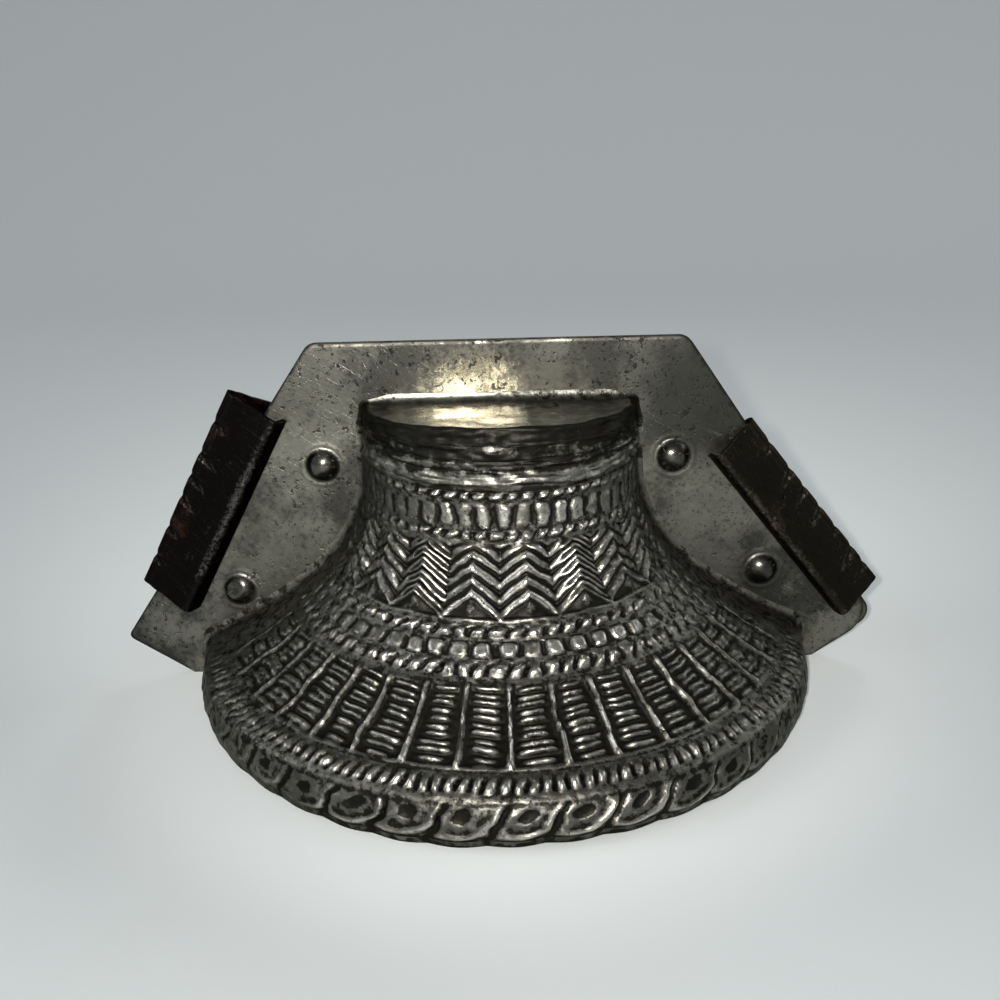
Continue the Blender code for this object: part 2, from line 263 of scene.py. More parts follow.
# %% Sizes of the sheet and the wall
SHEET = 0.6 * MM
SEAM_GAP = 0.3 * MM
FOOT_RADIUS = 25.7 * MM
SHOULDER_RADIUS = 58.2 * MM
RIM_RADIUS = 59.05 * MM
RIM_BULGE = 0.9 * MM
SHOULDER_BLEND = 1.9 * MM
FLARE_START = 45.0 * MM
FLARE_POWER = 2.37
BAND_HEIGHTS = {
    "rim_edge": 1.4 * MM,
    "braid": 7.2 * MM,
    "low_rope": 1.9 * MM,
    "panels": 8.3 * MM,
    "panel_rope": 2.4 * MM,
    "small_pads": 2.2 * MM,
    "middle_rope": 2.0 * MM,
    "herringbone": 12.0 * MM,
    "upper_rope": 2.2 * MM,
    "pads": 4.8 * MM,
    "top_rope": 2.0 * MM,
    "foot": 11.4 * MM,
}
RIM_TOP = BAND_HEIGHTS["rim_edge"] + BAND_HEIGHTS["braid"]
BASKET_HEIGHT = sum(BAND_HEIGHTS.values())
FOOT_LOW = BASKET_HEIGHT - BAND_HEIGHTS["foot"]
print("The basket is", round(BASKET_HEIGHT / MM, 1), "mm high")

# The wall meets the flange in a fillet, whose lip lies a hair in front of the flange
FLANGE_FACE = SEAM_GAP / 2 + SHEET
LIP = FLANGE_FACE + 0.03 * MM
WALL_MIDDLE = SEAM_GAP / 2 + SHEET / 2
FILLET = 1.5 * MM


def band_limits(name):
    """Lowest and highest point of a band."""
    low = 0.0
    for band, height in BAND_HEIGHTS.items():
        if band == name:
            return low, low + height
        low += height
    raise KeyError(name)


def plain_radius(z):
    """Radius of the wall without its relief, at height z."""
    share = (RIM_TOP - z) / RIM_TOP
    rim = SHOULDER_RADIUS + (RIM_RADIUS - SHOULDER_RADIUS) * share
    rim += RIM_BULGE * math.sin(HALF_TURN * share)
    drop = max(FLARE_START - z, 0.0) / (FLARE_START - RIM_TOP)
    flare = FOOT_RADIUS + (SHOULDER_RADIUS - FOOT_RADIUS) * drop ** FLARE_POWER
    return rim + (flare - rim) * soft_step(z, RIM_TOP - SHOULDER_BLEND, RIM_TOP + SHOULDER_BLEND)


def radius_nodes(z):
    """The same radius as nodes."""
    share = (RIM_TOP - z) / RIM_TOP
    rim = SHOULDER_RADIUS + share * (RIM_RADIUS - SHOULDER_RADIUS)
    rim = rim + sine(share * HALF_TURN) * RIM_BULGE
    drop = most(FLARE_START - z, 0.0) / (FLARE_START - RIM_TOP)
    flare = FOOT_RADIUS + drop ** FLARE_POWER * (SHOULDER_RADIUS - FOOT_RADIUS)
    return rim + (flare - rim) * ease(z, RIM_TOP - SHOULDER_BLEND, RIM_TOP + SHOULDER_BLEND)


# %% [markdown]
# ### One tree for a band
# A grid has rows that run down the outside of the sheet and back up its inside, and columns
# that run round the half. The first and last columns are pinched together, and the last row lies
# on the first, so Merge by Distance closes the band into a thin shell. Each kind of relief
# gives only its formula; the functions below build the rest of the tree.

# %% Inputs and grid of a band
END_CROWDING = 0.5


class Band:
    """What a relief formula may read: where a point is, and the sizes of its band."""

    def __init__(self, angle, share, sizes):
        self.angle = angle
        self.share = share
        self.height = sizes["High"] - sizes["Low"]
        self.repeats = sizes["Repeats"]
        self.relief = sizes["Relief"]

    def turn(self, phase=0.0):
        """How many cells of the pattern lie between the phase and this point."""
        return (self.angle - phase) * self.repeats / HALF_TURN


def band_group(name):
    """An empty tree with an input for each size of a band, and these inputs as Numbers."""
    tree = bpy.data.node_groups.new(name, "GeometryNodeTree")
    tree.interface.new_socket("Band", in_out="OUTPUT", socket_type="NodeSocketGeometry")
    kinds = {"Columns": "Int", "Rows": "Int", "Metal": "Material"}
    for label in ("Columns", "Rows", "Side", "Low", "High", "Repeats", "Relief", "Fade", "Metal"):
        kind = "NodeSocket" + kinds.get(label, "Float")
        tree.interface.new_socket(label, in_out="INPUT", socket_type=kind)
    given = tree.nodes.new("NodeGroupInput")
    return tree, {socket.name: Number(tree, socket) for socket in given.outputs if socket.name}


def grid_places(tree, sizes):
    """The grid, with each point's angle, share of the way down and depth into the sheet."""
    rows_in_all = sizes["Rows"] * 2 + 3
    lines = {"Vertices X": sizes["Columns"] + 3, "Vertices Y": rows_in_all}
    grid = add_node(tree, "GeometryNodeMeshGrid", lines)
    index = add_node(tree, "GeometryNodeInputIndex")
    column = whole((index + 0.5) / rows_in_all)
    row = index - column * rows_in_all

    # Columns: the first and last are pinched; the others crowd together near the flange
    step = held(column - 1, 0.0, sizes["Columns"])
    pinched = least(size_of(column - 1 - step), 1.0)
    across = step / sizes["Columns"] * 2 - 1
    crowded = across * (1 - END_CROWDING) + sine(across * QUARTER_TURN) * END_CROWDING

    # Rows: down the outside, up the inside, and the first once more
    last = above(row, sizes["Rows"] * 2 + 1.5)
    inside = above(row, sizes["Rows"] + 0.5) * (1 - last)
    down = least(row, sizes["Rows"] * 2 + 1 - row)
    share = most(down, 0.0) * (1 - last) / sizes["Rows"]
    through = (inside * (1 - pinched) + pinched * 0.5) * SHEET
    return grid, crowded * QUARTER_TURN, share, through


# %% Wear and dents that all bands share
RELIEF_FADE_START = math.radians(87.0)
# The pattern was cut by hand: it wanders, and towards the seam it grows rough and worn; there its
# colour is also evened out, partly as painted shade.
ROUGH_START = math.radians(22.0)
ROUGH_FULL = math.radians(62.0)
STRAY_SCALE = 210.0
STRAY = 0.014
STRAY_IF_ROUGH = 0.028
SINK_ROUND = 14.0
SINK_DOWN = 500.0
SINK = 0.6 * MM
SINK_IF_ROUGH = 0.35 * MM
WORN_CRESTS = 0.72
WORN_AWAY = 0.35
WORN_PATCHES = 260.0
# Evens the colour of wear towards the seam: worn metal, and painted shade that dulls the crests there
EVEN_WEAR_AND_SIDE_SHADE = 0.7
# Soft dents and lumps all over; the lumps fade out at the edge on the table
DENT_SCALE = 60.0
DENT_DEPTH = 0.35 * MM
DENT_FULL = FOOT_LOW - 3 * MM
LUMP_SCALE = 620.0
LUMP_HEIGHT = 0.36 * MM
LUMPS_FULL = 1.0 * MM
ROUGH_LUMPS = 0.9
# Near the seam the pattern ends in short grooves that run round the wall
FLUTES_ROUND = 10.0
FLUTES_DOWN = 480.0
FLUTE_HEIGHT = 1.5 * MM
FLUTES_FULL = 4.0 * MM


def wandering(angle, share, z, place, rough, sizes):
    """The Band that a formula sees. Its share is still true at the band's two edges."""
    stray = (cloud(place, STRAY_SCALE, 1.0) - 0.5) * (rough * STRAY_IF_ROUGH + STRAY)
    sunk_place = as_vector(angle * SINK_ROUND, z * SINK_DOWN, sizes["Side"] * 3.0 + 1.7)
    sunk = (cloud(sunk_place, 1.0, 1.5) - 0.5) * (rough * SINK_IF_ROUGH + SINK)
    sunk = sunk * share * (1 - share) * 4 / (sizes["High"] - sizes["Low"])
    return Band(angle + stray, held(share + sunk), sizes)


def beaten(angle, z, place, rough, fade, side):
    """Lumps and grooves, the same function for all bands, so that they still meet."""
    below_foot = ease(z, FOOT_LOW, DENT_FULL)
    lumps = (cloud(place, LUMP_SCALE, 2.5) - 0.5) * LUMP_HEIGHT * fade
    lumps = lumps * (rough * ROUGH_LUMPS * ease(z, RIM_TOP / 2, RIM_TOP) + 1)
    lumps = lumps * ease(z, 0.0, LUMPS_FULL)
    flute_place = as_vector(angle * FLUTES_ROUND, z * FLUTES_DOWN, side)
    flutes = (cloud(flute_place, 1.0, 1.5) - 0.5) * FLUTE_HEIGHT * (1 - fade)
    flutes = flutes * ease(size_of(angle), QUARTER_TURN, RELIEF_FADE_START)
    flutes = flutes * ease(z, 0.0, FLUTES_FULL)
    return (lumps + flutes) * below_foot


# %% Place of a point on the wall
SLOPE_STEP = 0.5 * MM
# The rim touches the table at one place and stands free elsewhere
SAG = 0.6 * MM
SAG_ANGLE = math.radians(-14.0)
SAG_WIDTH = math.radians(18.0)
SAG_TOP = 12.0 * MM
# The braid's lobes lean, and they also shape the edge that stands on the table
LOBES_PER_HALF = 20
LOBE_PHASE = math.radians(2.2)
LOBE_LEAN = 0.42
SCALLOP = 0.12 * MM


def wall_place(angle, radius, z, out, side):
    """Place of a point that lies this far out from the plain wall."""
    slope = radius_nodes(z + SLOPE_STEP) - radius_nodes(z - SLOPE_STEP)
    length = root(slope * slope + (2 * SLOPE_STEP) ** 2)
    radius = radius + out * (2 * SLOPE_STEP) / length
    sag_angle = (angle - SAG_ANGLE) / SAG_WIDTH
    sag = (1 - exponent(sag_angle * sag_angle * -1)) * SAG
    lobe_turn = (angle - LOBE_PHASE) * (2 * LOBES_PER_HALF) + HALF_TURN * LOBE_LEAN
    raised = (sag + (1 - cosine(lobe_turn)) * SCALLOP) * ease(z, SAG_TOP, 0.0)
    height = most(z - out * slope / length, 0.0) + raised
    y = (cosine(angle) * (radius + WALL_MIDDLE - LIP) + LIP) * side
    return as_vector(sine(angle) * radius, y, height)


# %% Band tree
PLAIN_WORN = 0.45
# Metal is rubbed where it stands above the metal round it, by this much or more
RUBBED_ABOVE = 0.16 * MM
BLUR_STEPS = 10
MERGE_DISTANCE = 0.001 * MM


def band_tree(name, formula):
    """A Geometry Nodes tree for one kind of relief, with named inputs for its sizes."""
    tree, sizes = band_group(name)
    grid, angle, share, through = grid_places(tree, sizes)
    side = sizes["Side"]
    z = sizes["High"] - share * (sizes["High"] - sizes["Low"])
    radius = radius_nodes(z)
    place = as_vector(sine(angle) * radius, cosine(angle) * radius * side, z)
    rough = ease(size_of(angle), ROUGH_START, ROUGH_FULL)
    fade = ease(size_of(angle), RELIEF_FADE_START, sizes["Fade"])

    lift, worn = formula(wandering(angle, share, z, place, rough, sizes))
    bare = ease(cloud(place, WORN_PATCHES, 2.0), 0.42, 0.58) * rough * WORN_AWAY
    lift = (lift - most(lift, 0.0) * rough * WORN_CRESTS) * fade * (1 - bare)
    # Towards the seam the wear is evened out: partly wear, partly painted shade on the crests
    worn = worn - rough * (worn - 0.5) * EVEN_WEAR_AND_SIDE_SHADE
    formed = lift + beaten(angle, z, place, rough, fade, side)
    dent = cloud(place, DENT_SCALE, 1.0) * fade * ease(z, FOOT_LOW, DENT_FULL) * -DENT_DEPTH
    close = most(FILLET - cosine(angle) * radius, 0.0)
    fillet = FILLET - root(FILLET ** 2 - close * close)
    out = formed + dent + fillet - through

    # Stored before the merge: how much each point is rubbed, from 0 in a hollow to 1 on a crest.
    # Towards the seam crests stand out less: painted shade.
    blur = {"Value": formed, "Iterations": BLUR_STEPS}
    around = add_node(tree, "GeometryNodeBlurAttribute", blur, "Value")
    stands = held((formed - around) / RUBBED_ABOVE, -1.0, 1.0) * (0.5 - rough * 0.2) + 0.5
    kept = worn * fade + (1 - fade) * PLAIN_WORN
    rubbed = {"Geometry": grid, "Name": "relief", "Value": kept * 0.5 + stands * 0.5}
    band = add_node(
        tree, "GeometryNodeStoreNamedAttribute", rubbed, data_type="FLOAT", domain="POINT",
    )
    for kind, inputs in (
        ("GeometryNodeSetPosition", {"Position": wall_place(angle, radius, z, out, side)}),
        ("GeometryNodeMergeByDistance", {"Distance": MERGE_DISTANCE}),
        ("GeometryNodeRealizeInstances", {}),
        ("GeometryNodeSetMaterial", {"Material": sizes["Metal"]}),
    ):
        band = add_node(tree, kind, {"Geometry": band, **inputs})
    set_input(tree, tree.nodes.new("NodeGroupOutput").inputs[0], band)
    return tree


# %% [markdown]
# ### Reliefs
# Each formula below gets the angle round the half and the share of the way down the band. It
# first turns them into a place in its own cell, then into a height: a bead is a dome over an
# oval, a straw is a bump with a groove along its crest. The second result says how much the
# metal is rubbed there, which the materials read later.

# %% Helpers for reliefs
RECESS = 0.4
BORDER = 0.1


def border(band):
    """1 inside a band and 0 at its two edges, so that neighbours meet without a step."""
    return ease(band.share, 0.0, BORDER) * ease(band.share, 1.0, 1 - BORDER)


def wear_of(lift, relief):
    """0 in the deepest hollow and 1 on the highest crest."""
    return held((lift / relief + RECESS) / (1 + RECESS))


def wobbled(band, amount, scale):
    """A soft offset that makes a hand-cut line of the pattern wander a little."""
    place = as_vector(band.angle, band.share * (band.height / FOOT_RADIUS), 0.0)
    return (cloud(place, scale, 1.0) - 0.5) * amount


# %% Rope: a row of soft beads with a dark, leaning slot between each two
BEAD_LEAN = 0.38
BEAD_MIDDLE = 0.46
BEAD_TALLNESS = 0.8
BEAD_DOME = ((0.0, 1.0), (0.3, 0.85), (0.6, 0.4), (1.0, 0.0))
SLOT_HALF_WIDTH = 0.24


def rope(band):
    turn = band.turn() + (band.share - 0.5) * BEAD_LEAN + wobbled(band, 0.9, 11.0)
    across = part_of_one(turn) - 0.5
    bead = chance(whole(turn), 11.0)
    gap = chance(whole(turn + 0.5), 21.0)
    down = (band.share - BEAD_MIDDLE) / BEAD_TALLNESS + (bead - 0.5) * 0.14
    away = root(across * across + down * down) * 2
    dome = profile(least(away, 1.0), BEAD_DOME) * (bead * 0.5 + 0.55)
    slot = ease(size_of(across), 0.5 - SLOT_HALF_WIDTH, 0.5) * ease(size_of(down), 0.44, 0.2)
    slot = slot * (gap * 0.6 + 0.5)
    lift = (dome - slot * 0.8) * band.relief * border(band)
    return lift, held(dome * 0.6 - slot * 0.6 + 0.45)


# %% Pads: tall ovals with a dark gap between each two
PAD_HALF_WIDTH = 0.36
PAD_HALF_TALLNESS = 0.46
PAD_SHAPE = ((0.0, 1.0), (0.3, 0.95), (0.6, 0.7), (0.85, 0.25), (1.0, 0.05))


def pads(band):
    turn = band.turn() + 0.5 + wobbled(band, 0.6, 7.0)
    across = part_of_one(turn) - 0.5
    bead = chance(whole(turn), 3.0)
    gap = chance(whole(turn + 0.5), 13.0)
    down = band.share - 0.5 + (chance(whole(turn), 5.0) - 0.5) * 0.1
    away = size_of(across / PAD_HALF_WIDTH) ** 2.4 + size_of(down / PAD_HALF_TALLNESS) ** 3.0
    pad = profile(least(away, 1.0), PAD_SHAPE) * (bead * 0.8 + 0.35)
    slot = ease(size_of(across), PAD_HALF_WIDTH, 0.47) * ease(size_of(down), 0.42, 0.28)
    slot = slot * (gap * 0.7 + 0.4)
    lift = (pad - slot * 0.55) * band.relief * border(band)
    return lift, held(pad * 0.5 - slot * 0.7 + 0.42)


# %% Herringbone: straws that rise and fall from arm to arm
ARM_PHASE = math.radians(-1.9)
STRAW_PITCH = 2.07 * MM
STRAW_RISE = 2.8 * MM
# Across a straw: one round back, but a split one on the arms to both sides of the middle
ROUND_STRAW = (
    (0.0, 0.0), (0.08, 0.1), (0.25, 0.8), (0.5, 1.0), (0.72, 0.85), (0.88, 0.15), (1.0, 0.0),
)
SPLIT_STRAW = (
    (0.0, 0.0), (0.06, 0.1), (0.24, 1.0), (0.5, 0.35), (0.76, 1.0), (0.94, 0.1), (1.0, 0.0),
)
SPLIT_MIDDLE = math.radians(28.0)
SPLIT_NONE = math.radians(9.0)
SPLIT_FULL = math.radians(5.5)
LEDGE_WIDTH = 0.5 * MM
STRAW_END = 0.25 * MM
ARM_ROOF = 2.2 * MM
LAST_STRAW = BAND_HEIGHTS["herringbone"] - STRAW_RISE / 2 - LEDGE_WIDTH


def herringbone(band):
    turn = band.turn(ARM_PHASE) + wobbled(band, 0.22, 5.0)
    peak = zigzag(turn, 1.0) - 0.5
    depth = band.share * band.height
    line = depth + peak * STRAW_RISE + wobbled(band, 0.9 * MM, 7.0)
    cross = part_of_one(line / STRAW_PITCH)
    round_straw = profile(cross, ROUND_STRAW)
    from_split = size_of(size_of(band.angle) - SPLIT_MIDDLE)
    split = (profile(cross, SPLIT_STRAW) - round_straw) * ease(from_split, SPLIT_NONE, SPLIT_FULL)
    straw = (round_straw + split) * ease(line, LAST_STRAW, LAST_STRAW - STRAW_END)
    # The arms lean like a folded screen, so that each one catches the light by itself
    roof = peak * ARM_ROOF * ease(size_of(band.share - 0.5), 0.5, 0.3)
    ledge = ease(size_of(band.height - LEDGE_WIDTH - depth), LEDGE_WIDTH, 0.0)
    full = chance(whole(line / STRAW_PITCH) + whole(turn) * 13, 4.0) * 0.4 + 0.75
    cut = (straw * full + ledge * 0.8 - RECESS) * band.relief * border(band)
    return cut + roof, least(wear_of(cut, band.relief) * 1.15, 1.0)


# %% Panels: windows with a frame, filled with pairs of thin ribs
RIB_PAIRS = 5.75
RIB_HALF_LENGTH = 0.36
FRAME_HALF_WIDTH = 0.04
WINDOW_HALF_SIZE = 0.46
LEDGE_PLACE = 0.965
RIB = ((0.0, 0.0), (0.12, 0.35), (0.28, 1.0), (0.5, 0.55), (0.72, 1.0), (0.88, 0.35), (1.0, 0.0))


def panels(band):
    turn = band.turn() + wobbled(band, 0.2, 6.0)
    across = part_of_one(turn) - 0.5
    down = band.share - 0.5 + wobbled(band, 0.05, 8.0)
    cell = whole(turn)
    corner = size_of(across / WINDOW_HALF_SIZE) ** 5 + size_of(down / WINDOW_HALF_SIZE) ** 7
    window = ease(corner, 1.1, 0.45)
    slant = across * (chance(cell, 2.0) - 0.5) * 0.5
    bow = across * across * (chance(cell, 4.0) * 1.2 - 0.2)
    count = band.share * RIB_PAIRS + slant + bow + chance(cell, 7.0) * 0.3
    end = RIB_HALF_LENGTH + (chance(whole(count) + cell * 17, 9.0) - 0.5) * 0.16
    rib = profile(part_of_one(count), RIB) * ease(size_of(across) - end, 0.05, -0.24)
    rib = rib * (chance(whole(count * 2) + cell * 31, 6.0) * 0.5 + 0.65)
    frame = ease(size_of(across), 0.5 - 2 * FRAME_HALF_WIDTH, 0.5 - 0.5 * FRAME_HALF_WIDTH)
    ledge = ease(size_of(band.share - LEDGE_PLACE), 1 - LEDGE_PLACE, 0.0)
    high = most(frame * 0.7, ledge * 0.5) * (1 - window) + rib * window * 0.9
    lift = (high - window * RECESS) * band.relief * border(band)
    return lift, wear_of(lift, band.relief)


# %% Braid: leaning lobes, each with a flat eye and a crescent round it
EYE_ACROSS = -0.08
EYE_DOWN = -0.1
EYE_HALF_WIDTH = 0.62
EYE_HALF_TALLNESS = 0.6
# Height of a lobe against the distance from its eye: towards its upper left, and all other ways
LOBE_BACK = ((0.0, 0.1), (0.16, 0.14), (0.34, 0.5), (0.5, 0.55), (0.75, 0.45), (1.0, 0.3))
LOBE_FRONT = (
    (0.0, 0.1), (0.14, 0.14), (0.32, 0.52), (0.5, 0.52), (0.64, 0.58), (0.8, 0.95), (0.9, 0.85),
    (1.0, 0.5),
)
# Height of the whole roll against the share of the way down
BRAID_ROLL = (
    (0.0, 0.0), (0.09, 0.04), (0.24, 0.72), (0.42, 1.0), (0.76, 0.95), (0.92, 0.45), (1.0, 0.0),
)
LOBE_EDGE = 0.4


def lobe_edge(turn):
    """The lobes' outline in the edge of the rim."""
    return (1 - size_of(part_of_one(turn) - 0.5) ** 2.5 * 5.6) * LOBE_EDGE


def braid(band):
    turn = band.turn(LOBE_PHASE) + (band.share - 0.5) * LOBE_LEAN + 0.5
    turn = turn + wobbled(band, 0.35, 7.0) * ease(band.share, 1.0, 0.8)
    across = part_of_one(turn) - 0.5
    down = band.share - 0.5 + wobbled(band, 0.12, 9.0)
    cell = whole(turn)
    eye_across = (across - EYE_ACROSS + (chance(cell, 1.0) - 0.5) * 0.1) / EYE_HALF_WIDTH
    eye_down = (down - EYE_DOWN + (chance(cell, 8.0) - 0.5) * 0.1) / EYE_HALF_TALLNESS
    away = root(eye_across * eye_across + eye_down * eye_down)
    facing = (eye_across + eye_down * 0.9) / (away + 0.05) * 0.7
    back = profile(least(away, 1.0), LOBE_BACK)
    front = profile(least(away, 1.0), LOBE_FRONT)
    shape = back + (front - back) * ease(facing, -0.35, 0.45)
    groove = ease(size_of(across), 0.5, 0.39)
    roll = profile(band.share, BRAID_ROLL)
    lobe = shape * (groove * 1.3 - 0.3) * roll
    lift = (lobe + lobe_edge(turn) * ease(band.share, 0.7, 1.0)) * band.relief
    worn = shape * (groove * 0.6 + 0.4) * (roll * 0.6 + 0.4)
    ledge = ease(band.share, 0.26, 0.05) * 0.5
    return lift, least(most(worn * 0.98 - 0.14, ledge), 1.0)


# %% Rim edge: the strip that stands on the table
def edge(band):
    turn = band.turn(LOBE_PHASE) + LOBE_LEAN / 2 + 0.5
    lift = lobe_edge(turn) * (1 - band.share * 0.5) * band.relief
    # Painted shade: the strip is dark, and darker towards the table, under the roll of the braid
    return lift, band.share * -0.1 + 0.34


# %% [markdown]
# ## Finishes
# All sheets are old tinplate: a dull grey with warm, darker tarnish in every hollow, rubbed
# bright on the crests, pitted and scratched. Some light and shade is painted into their colour
# too: a highlight on the foot's face and the flange above it, and shade along the face's fillet,
# on the domes, the top of the flange, the rim's edge and the crests towards the seam. The clips
# are bare spring steel that went almost black. What the metals share is kept in node groups:
# tarnish, pits, scratches and rust. Each group gives only masks and heights; the shader itself
# stays in each material.

# %% Shader groups
def object_place(tree):
    return add_node(tree, "ShaderNodeTexCoord", output="Object")


def scaled_place(tree, scale, turn):
    """Object coordinates, turned about Y and stretched by scale along each axis."""
    given = {
        "Vector": object_place(tree),
        "Rotation": (0.0, turn, 0.0),
        "Scale": [1 / size for size in scale],
    }
    return add_node(tree, "ShaderNodeMapping", given, "Vector", vector_type="TEXTURE")


def tarnish(tree, given):
    place = object_place(tree)
    mixed = cloud(place, 70.0, 4.0, 0.6) * 0.62 + cloud(place, 420.0, 3.0, 0.65) * 0.38
    limit = 1 - given["Amount"]
    mask = ease(mixed, limit - given["Softness"], limit + given["Softness"])
    return {"Mask": mask, "Clouds": mixed}


def pits(tree, given):
    masks = []
    for scale, limit in ((1500.0, 0.66), (620.0, 0.68)):
        specks = cloud(object_place(tree), scale, 3.0, 0.6)
        patch = cloud(object_place(tree), scale / 12, 2.0)
        here = ease(patch, 0.74 - given["Amount"] * 0.5, 0.84 - given["Amount"] * 0.5)
        masks.append(ease(specks + here * 0.06, limit, limit + 0.06) * here)
    return {"Mask": most(*masks)}


def scratches(tree, given):
    """Thin lines in three directions; each has a turn and its patches per metre both ways."""
    total = 0.0
    for turn, across, along in ((0.62, 5200.0, 60.0), (0.5, 2600.0, 45.0), (1.1, 7000.0, 110.0)):
        total = cloud(scaled_place(tree, (along, along, across), turn), 1.0, 2.0, 0.6) + total
    total = total / 3
    return {"Height": total * given["Amount"], "Mask": ease(total, 0.56, 0.66) * given["Amount"]}


def rust(tree, given):
    place = object_place(tree)
    grain = cloud(place, 1500.0, 4.0, 0.7)
    limit = 0.85 - given["Amount"] * 0.5
    mixed = cloud(place, 110.0, 5.0, 0.6) * 0.75 + grain * 0.25
    return {"Mask": ease(mixed, limit - 0.06, limit + 0.06), "Grain": grain}


def shader_group(effect, *labels):
    """A node group for one effect, with float inputs of these names and its masks as outputs."""
    tree = bpy.data.node_groups.new(effect.__name__, "ShaderNodeTree")
    for label in labels:
        tree.interface.new_socket(label, in_out="INPUT", socket_type="NodeSocketFloat")
    given = tree.nodes.new("NodeGroupInput")
    masks = effect(tree, {socket.name: Number(tree, socket) for socket in given.outputs})
    for label in masks:
        tree.interface.new_socket(label, in_out="OUTPUT", socket_type="NodeSocketFloat")
    result = tree.nodes.new("NodeGroupOutput")
    for label, mask in masks.items():
        set_input(tree, result.inputs[label], mask)
    return tree


TARNISH = shader_group(tarnish, "Amount", "Softness")
PITS = shader_group(pits, "Amount")
SCRATCHES = shader_group(scratches, "Amount")
RUST = shader_group(rust, "Amount")

# %% Helpers for materials
# Oxide on the metal keeps it from shining white where it is seen at a glancing angle
OXIDE_GLOSS = 0.25
OXIDE_EDGE = (0.42, 0.42, 0.4, 1.0)


def use_group(tree, group, **values):
    """Add a group with these inputs; all its outputs come back as Numbers."""
    node = tree.nodes.new("ShaderNodeGroup")
    node.node_tree = group
    for label, value in values.items():
        set_input(tree, node.inputs[label], value)
    return {socket.name: Number(tree, socket) for socket in node.outputs}


def layered(tree, colour, layers):
    """A colour with others laid over it, each as strongly as its mask says."""
    colour = (*colour, 1.0)
    for mask, tint in layers:
        inputs = {"Factor": mask, "A": colour, "B": (*tint, 1.0)}
        colour = add_node(tree, "ShaderNodeMix", inputs, "Result", data_type="RGBA")
    return colour


def blend_number(mask, first, second):
    """first where the mask is 0 and second where it is 1."""
    return mask * (second - first) + first


def worn_attribute(tree):
    return add_node(tree, "ShaderNodeAttribute", output="Fac", attribute_name="relief")


def distance_from(place, spot):
    given = {0: place, 1: spot}
    return add_node(place.tree, "ShaderNodeVectorMath", given, "Value", operation="DISTANCE")


def new_paint(name):
    """A new material and its shader."""
    material = bpy.data.materials.new(name)
    material.use_nodes = True
    return material, material.node_tree.nodes["Principled BSDF"]


def new_metal(name, finish):
    """A metal with the colour, roughness, metalness, grain and grain height of a finish."""
    material, shader = new_paint(name)
    tree = material.node_tree
    colour, rough, metal, grain, grain_height = finish(tree)
    bump = {"Distance": grain_height, "Strength": 1.0, "Height": grain}
    looks = {
        "Base Color": colour,
        "Roughness": rough,
        "Metallic": metal,
        "Normal": add_node(tree, "ShaderNodeBump", bump, "Normal"),
        "Specular IOR Level": OXIDE_GLOSS,
        "Specular Tint": OXIDE_EDGE,
    }
    for label, value in looks.items():
        set_input(tree, shader.inputs[label], value)
    return material


# %% Tin of the basket wall
BRIGHT_TIN = (0.53, 0.514, 0.46)
# Bare tin on the foot's face, made lighter still by a painted highlight
BARE_TIN_AND_HIGHLIGHT = (0.88, 0.82, 0.7)
GREY_TIN = (0.175, 0.172, 0.152)
STAINED_TIN = (0.052, 0.05, 0.042)
DARK_TARNISH = (0.007, 0.0066, 0.005)
BROWN_RUST = (0.075, 0.03, 0.014)


def wall_tin(tree):
    place = object_place(tree)
    worn = worn_attribute(tree)
    tarnished = use_group(tree, TARNISH, Amount=0.5, Softness=0.1)
    pitted = use_group(tree, PITS, Amount=0.5)["Mask"]
    rusty = use_group(tree, RUST, Amount=0.3)
    blotches = cloud(place, 520.0, 4.0, 0.62) - 0.5
    mottle = cloud(place, 1700.0, 3.0, 0.7) - 0.5
    uneven = (tarnished["Clouds"] - 0.5) * 0.7 + blotches * 0.8 + mottle * 0.5
    hollow = ease(worn + uneven, 0.54, 0.33)
    rubbed = ease(worn + uneven * 0.8, 0.62, 0.88) * (1 - tarnished["Mask"] * 0.5)
    # Past 1 the wear marks the foot's face: bare tin, with a painted highlight in its colour
    bare = ease(worn + mottle * 0.5, 1.05, 1.35)
    colour = layered(tree, GREY_TIN, (
        (tarnished["Mask"] * 0.7, STAINED_TIN),
        (rubbed, BRIGHT_TIN),
        (hollow * 0.95, DARK_TARNISH),
        (ease(mottle, 0.02, 0.2) * 0.5, DARK_TARNISH),
        (pitted * 0.7, DARK_TARNISH),
        (rusty["Mask"] * 0.75, BROWN_RUST),
        (bare * 0.9, BARE_TIN_AND_HIGHLIGHT),
    ))
    rough = blend_number(rubbed, 0.4, 0.25) - bare * 0.06
    rough = blend_number(hollow, rough, 0.5) + (blotches + mottle) * 0.25
    metal = 1 - most(hollow * 0.12, rusty["Mask"] * 0.6)
    grain = rusty["Grain"] * 0.5 + blotches * 0.6 + mottle * 0.4 - pitted
    return colour, rough, metal, grain, 0.09 * MM


# %% Tin of the flanges
FLANGE_GREY = (0.175, 0.172, 0.145)
FLANGE_DULL = (0.095, 0.093, 0.078)
FLANGE_STAIN = (0.028, 0.028, 0.025)
# Colour of a painted highlight on the flange, above the foot's face
FLANGE_PAINTED_HIGHLIGHT = (0.28, 0.26, 0.21)
FLANGE_RUST = (0.045, 0.034, 0.022)
FLANGE_EDGE = (0.03, 0.028, 0.024)
FLANGE_DOME_SHADE = (0.07, 0.068, 0.06)
DARK_PATCH = Vector((39.0, 0.0, 58.0)) * MM
SCRATCHED_PATCH = Vector((-30.0, 0.0, 55.0)) * MM
SMOOTH_AND_HIGHLIGHT_PATCH = Vector((-5.0, 0.0, 57.0)) * MM


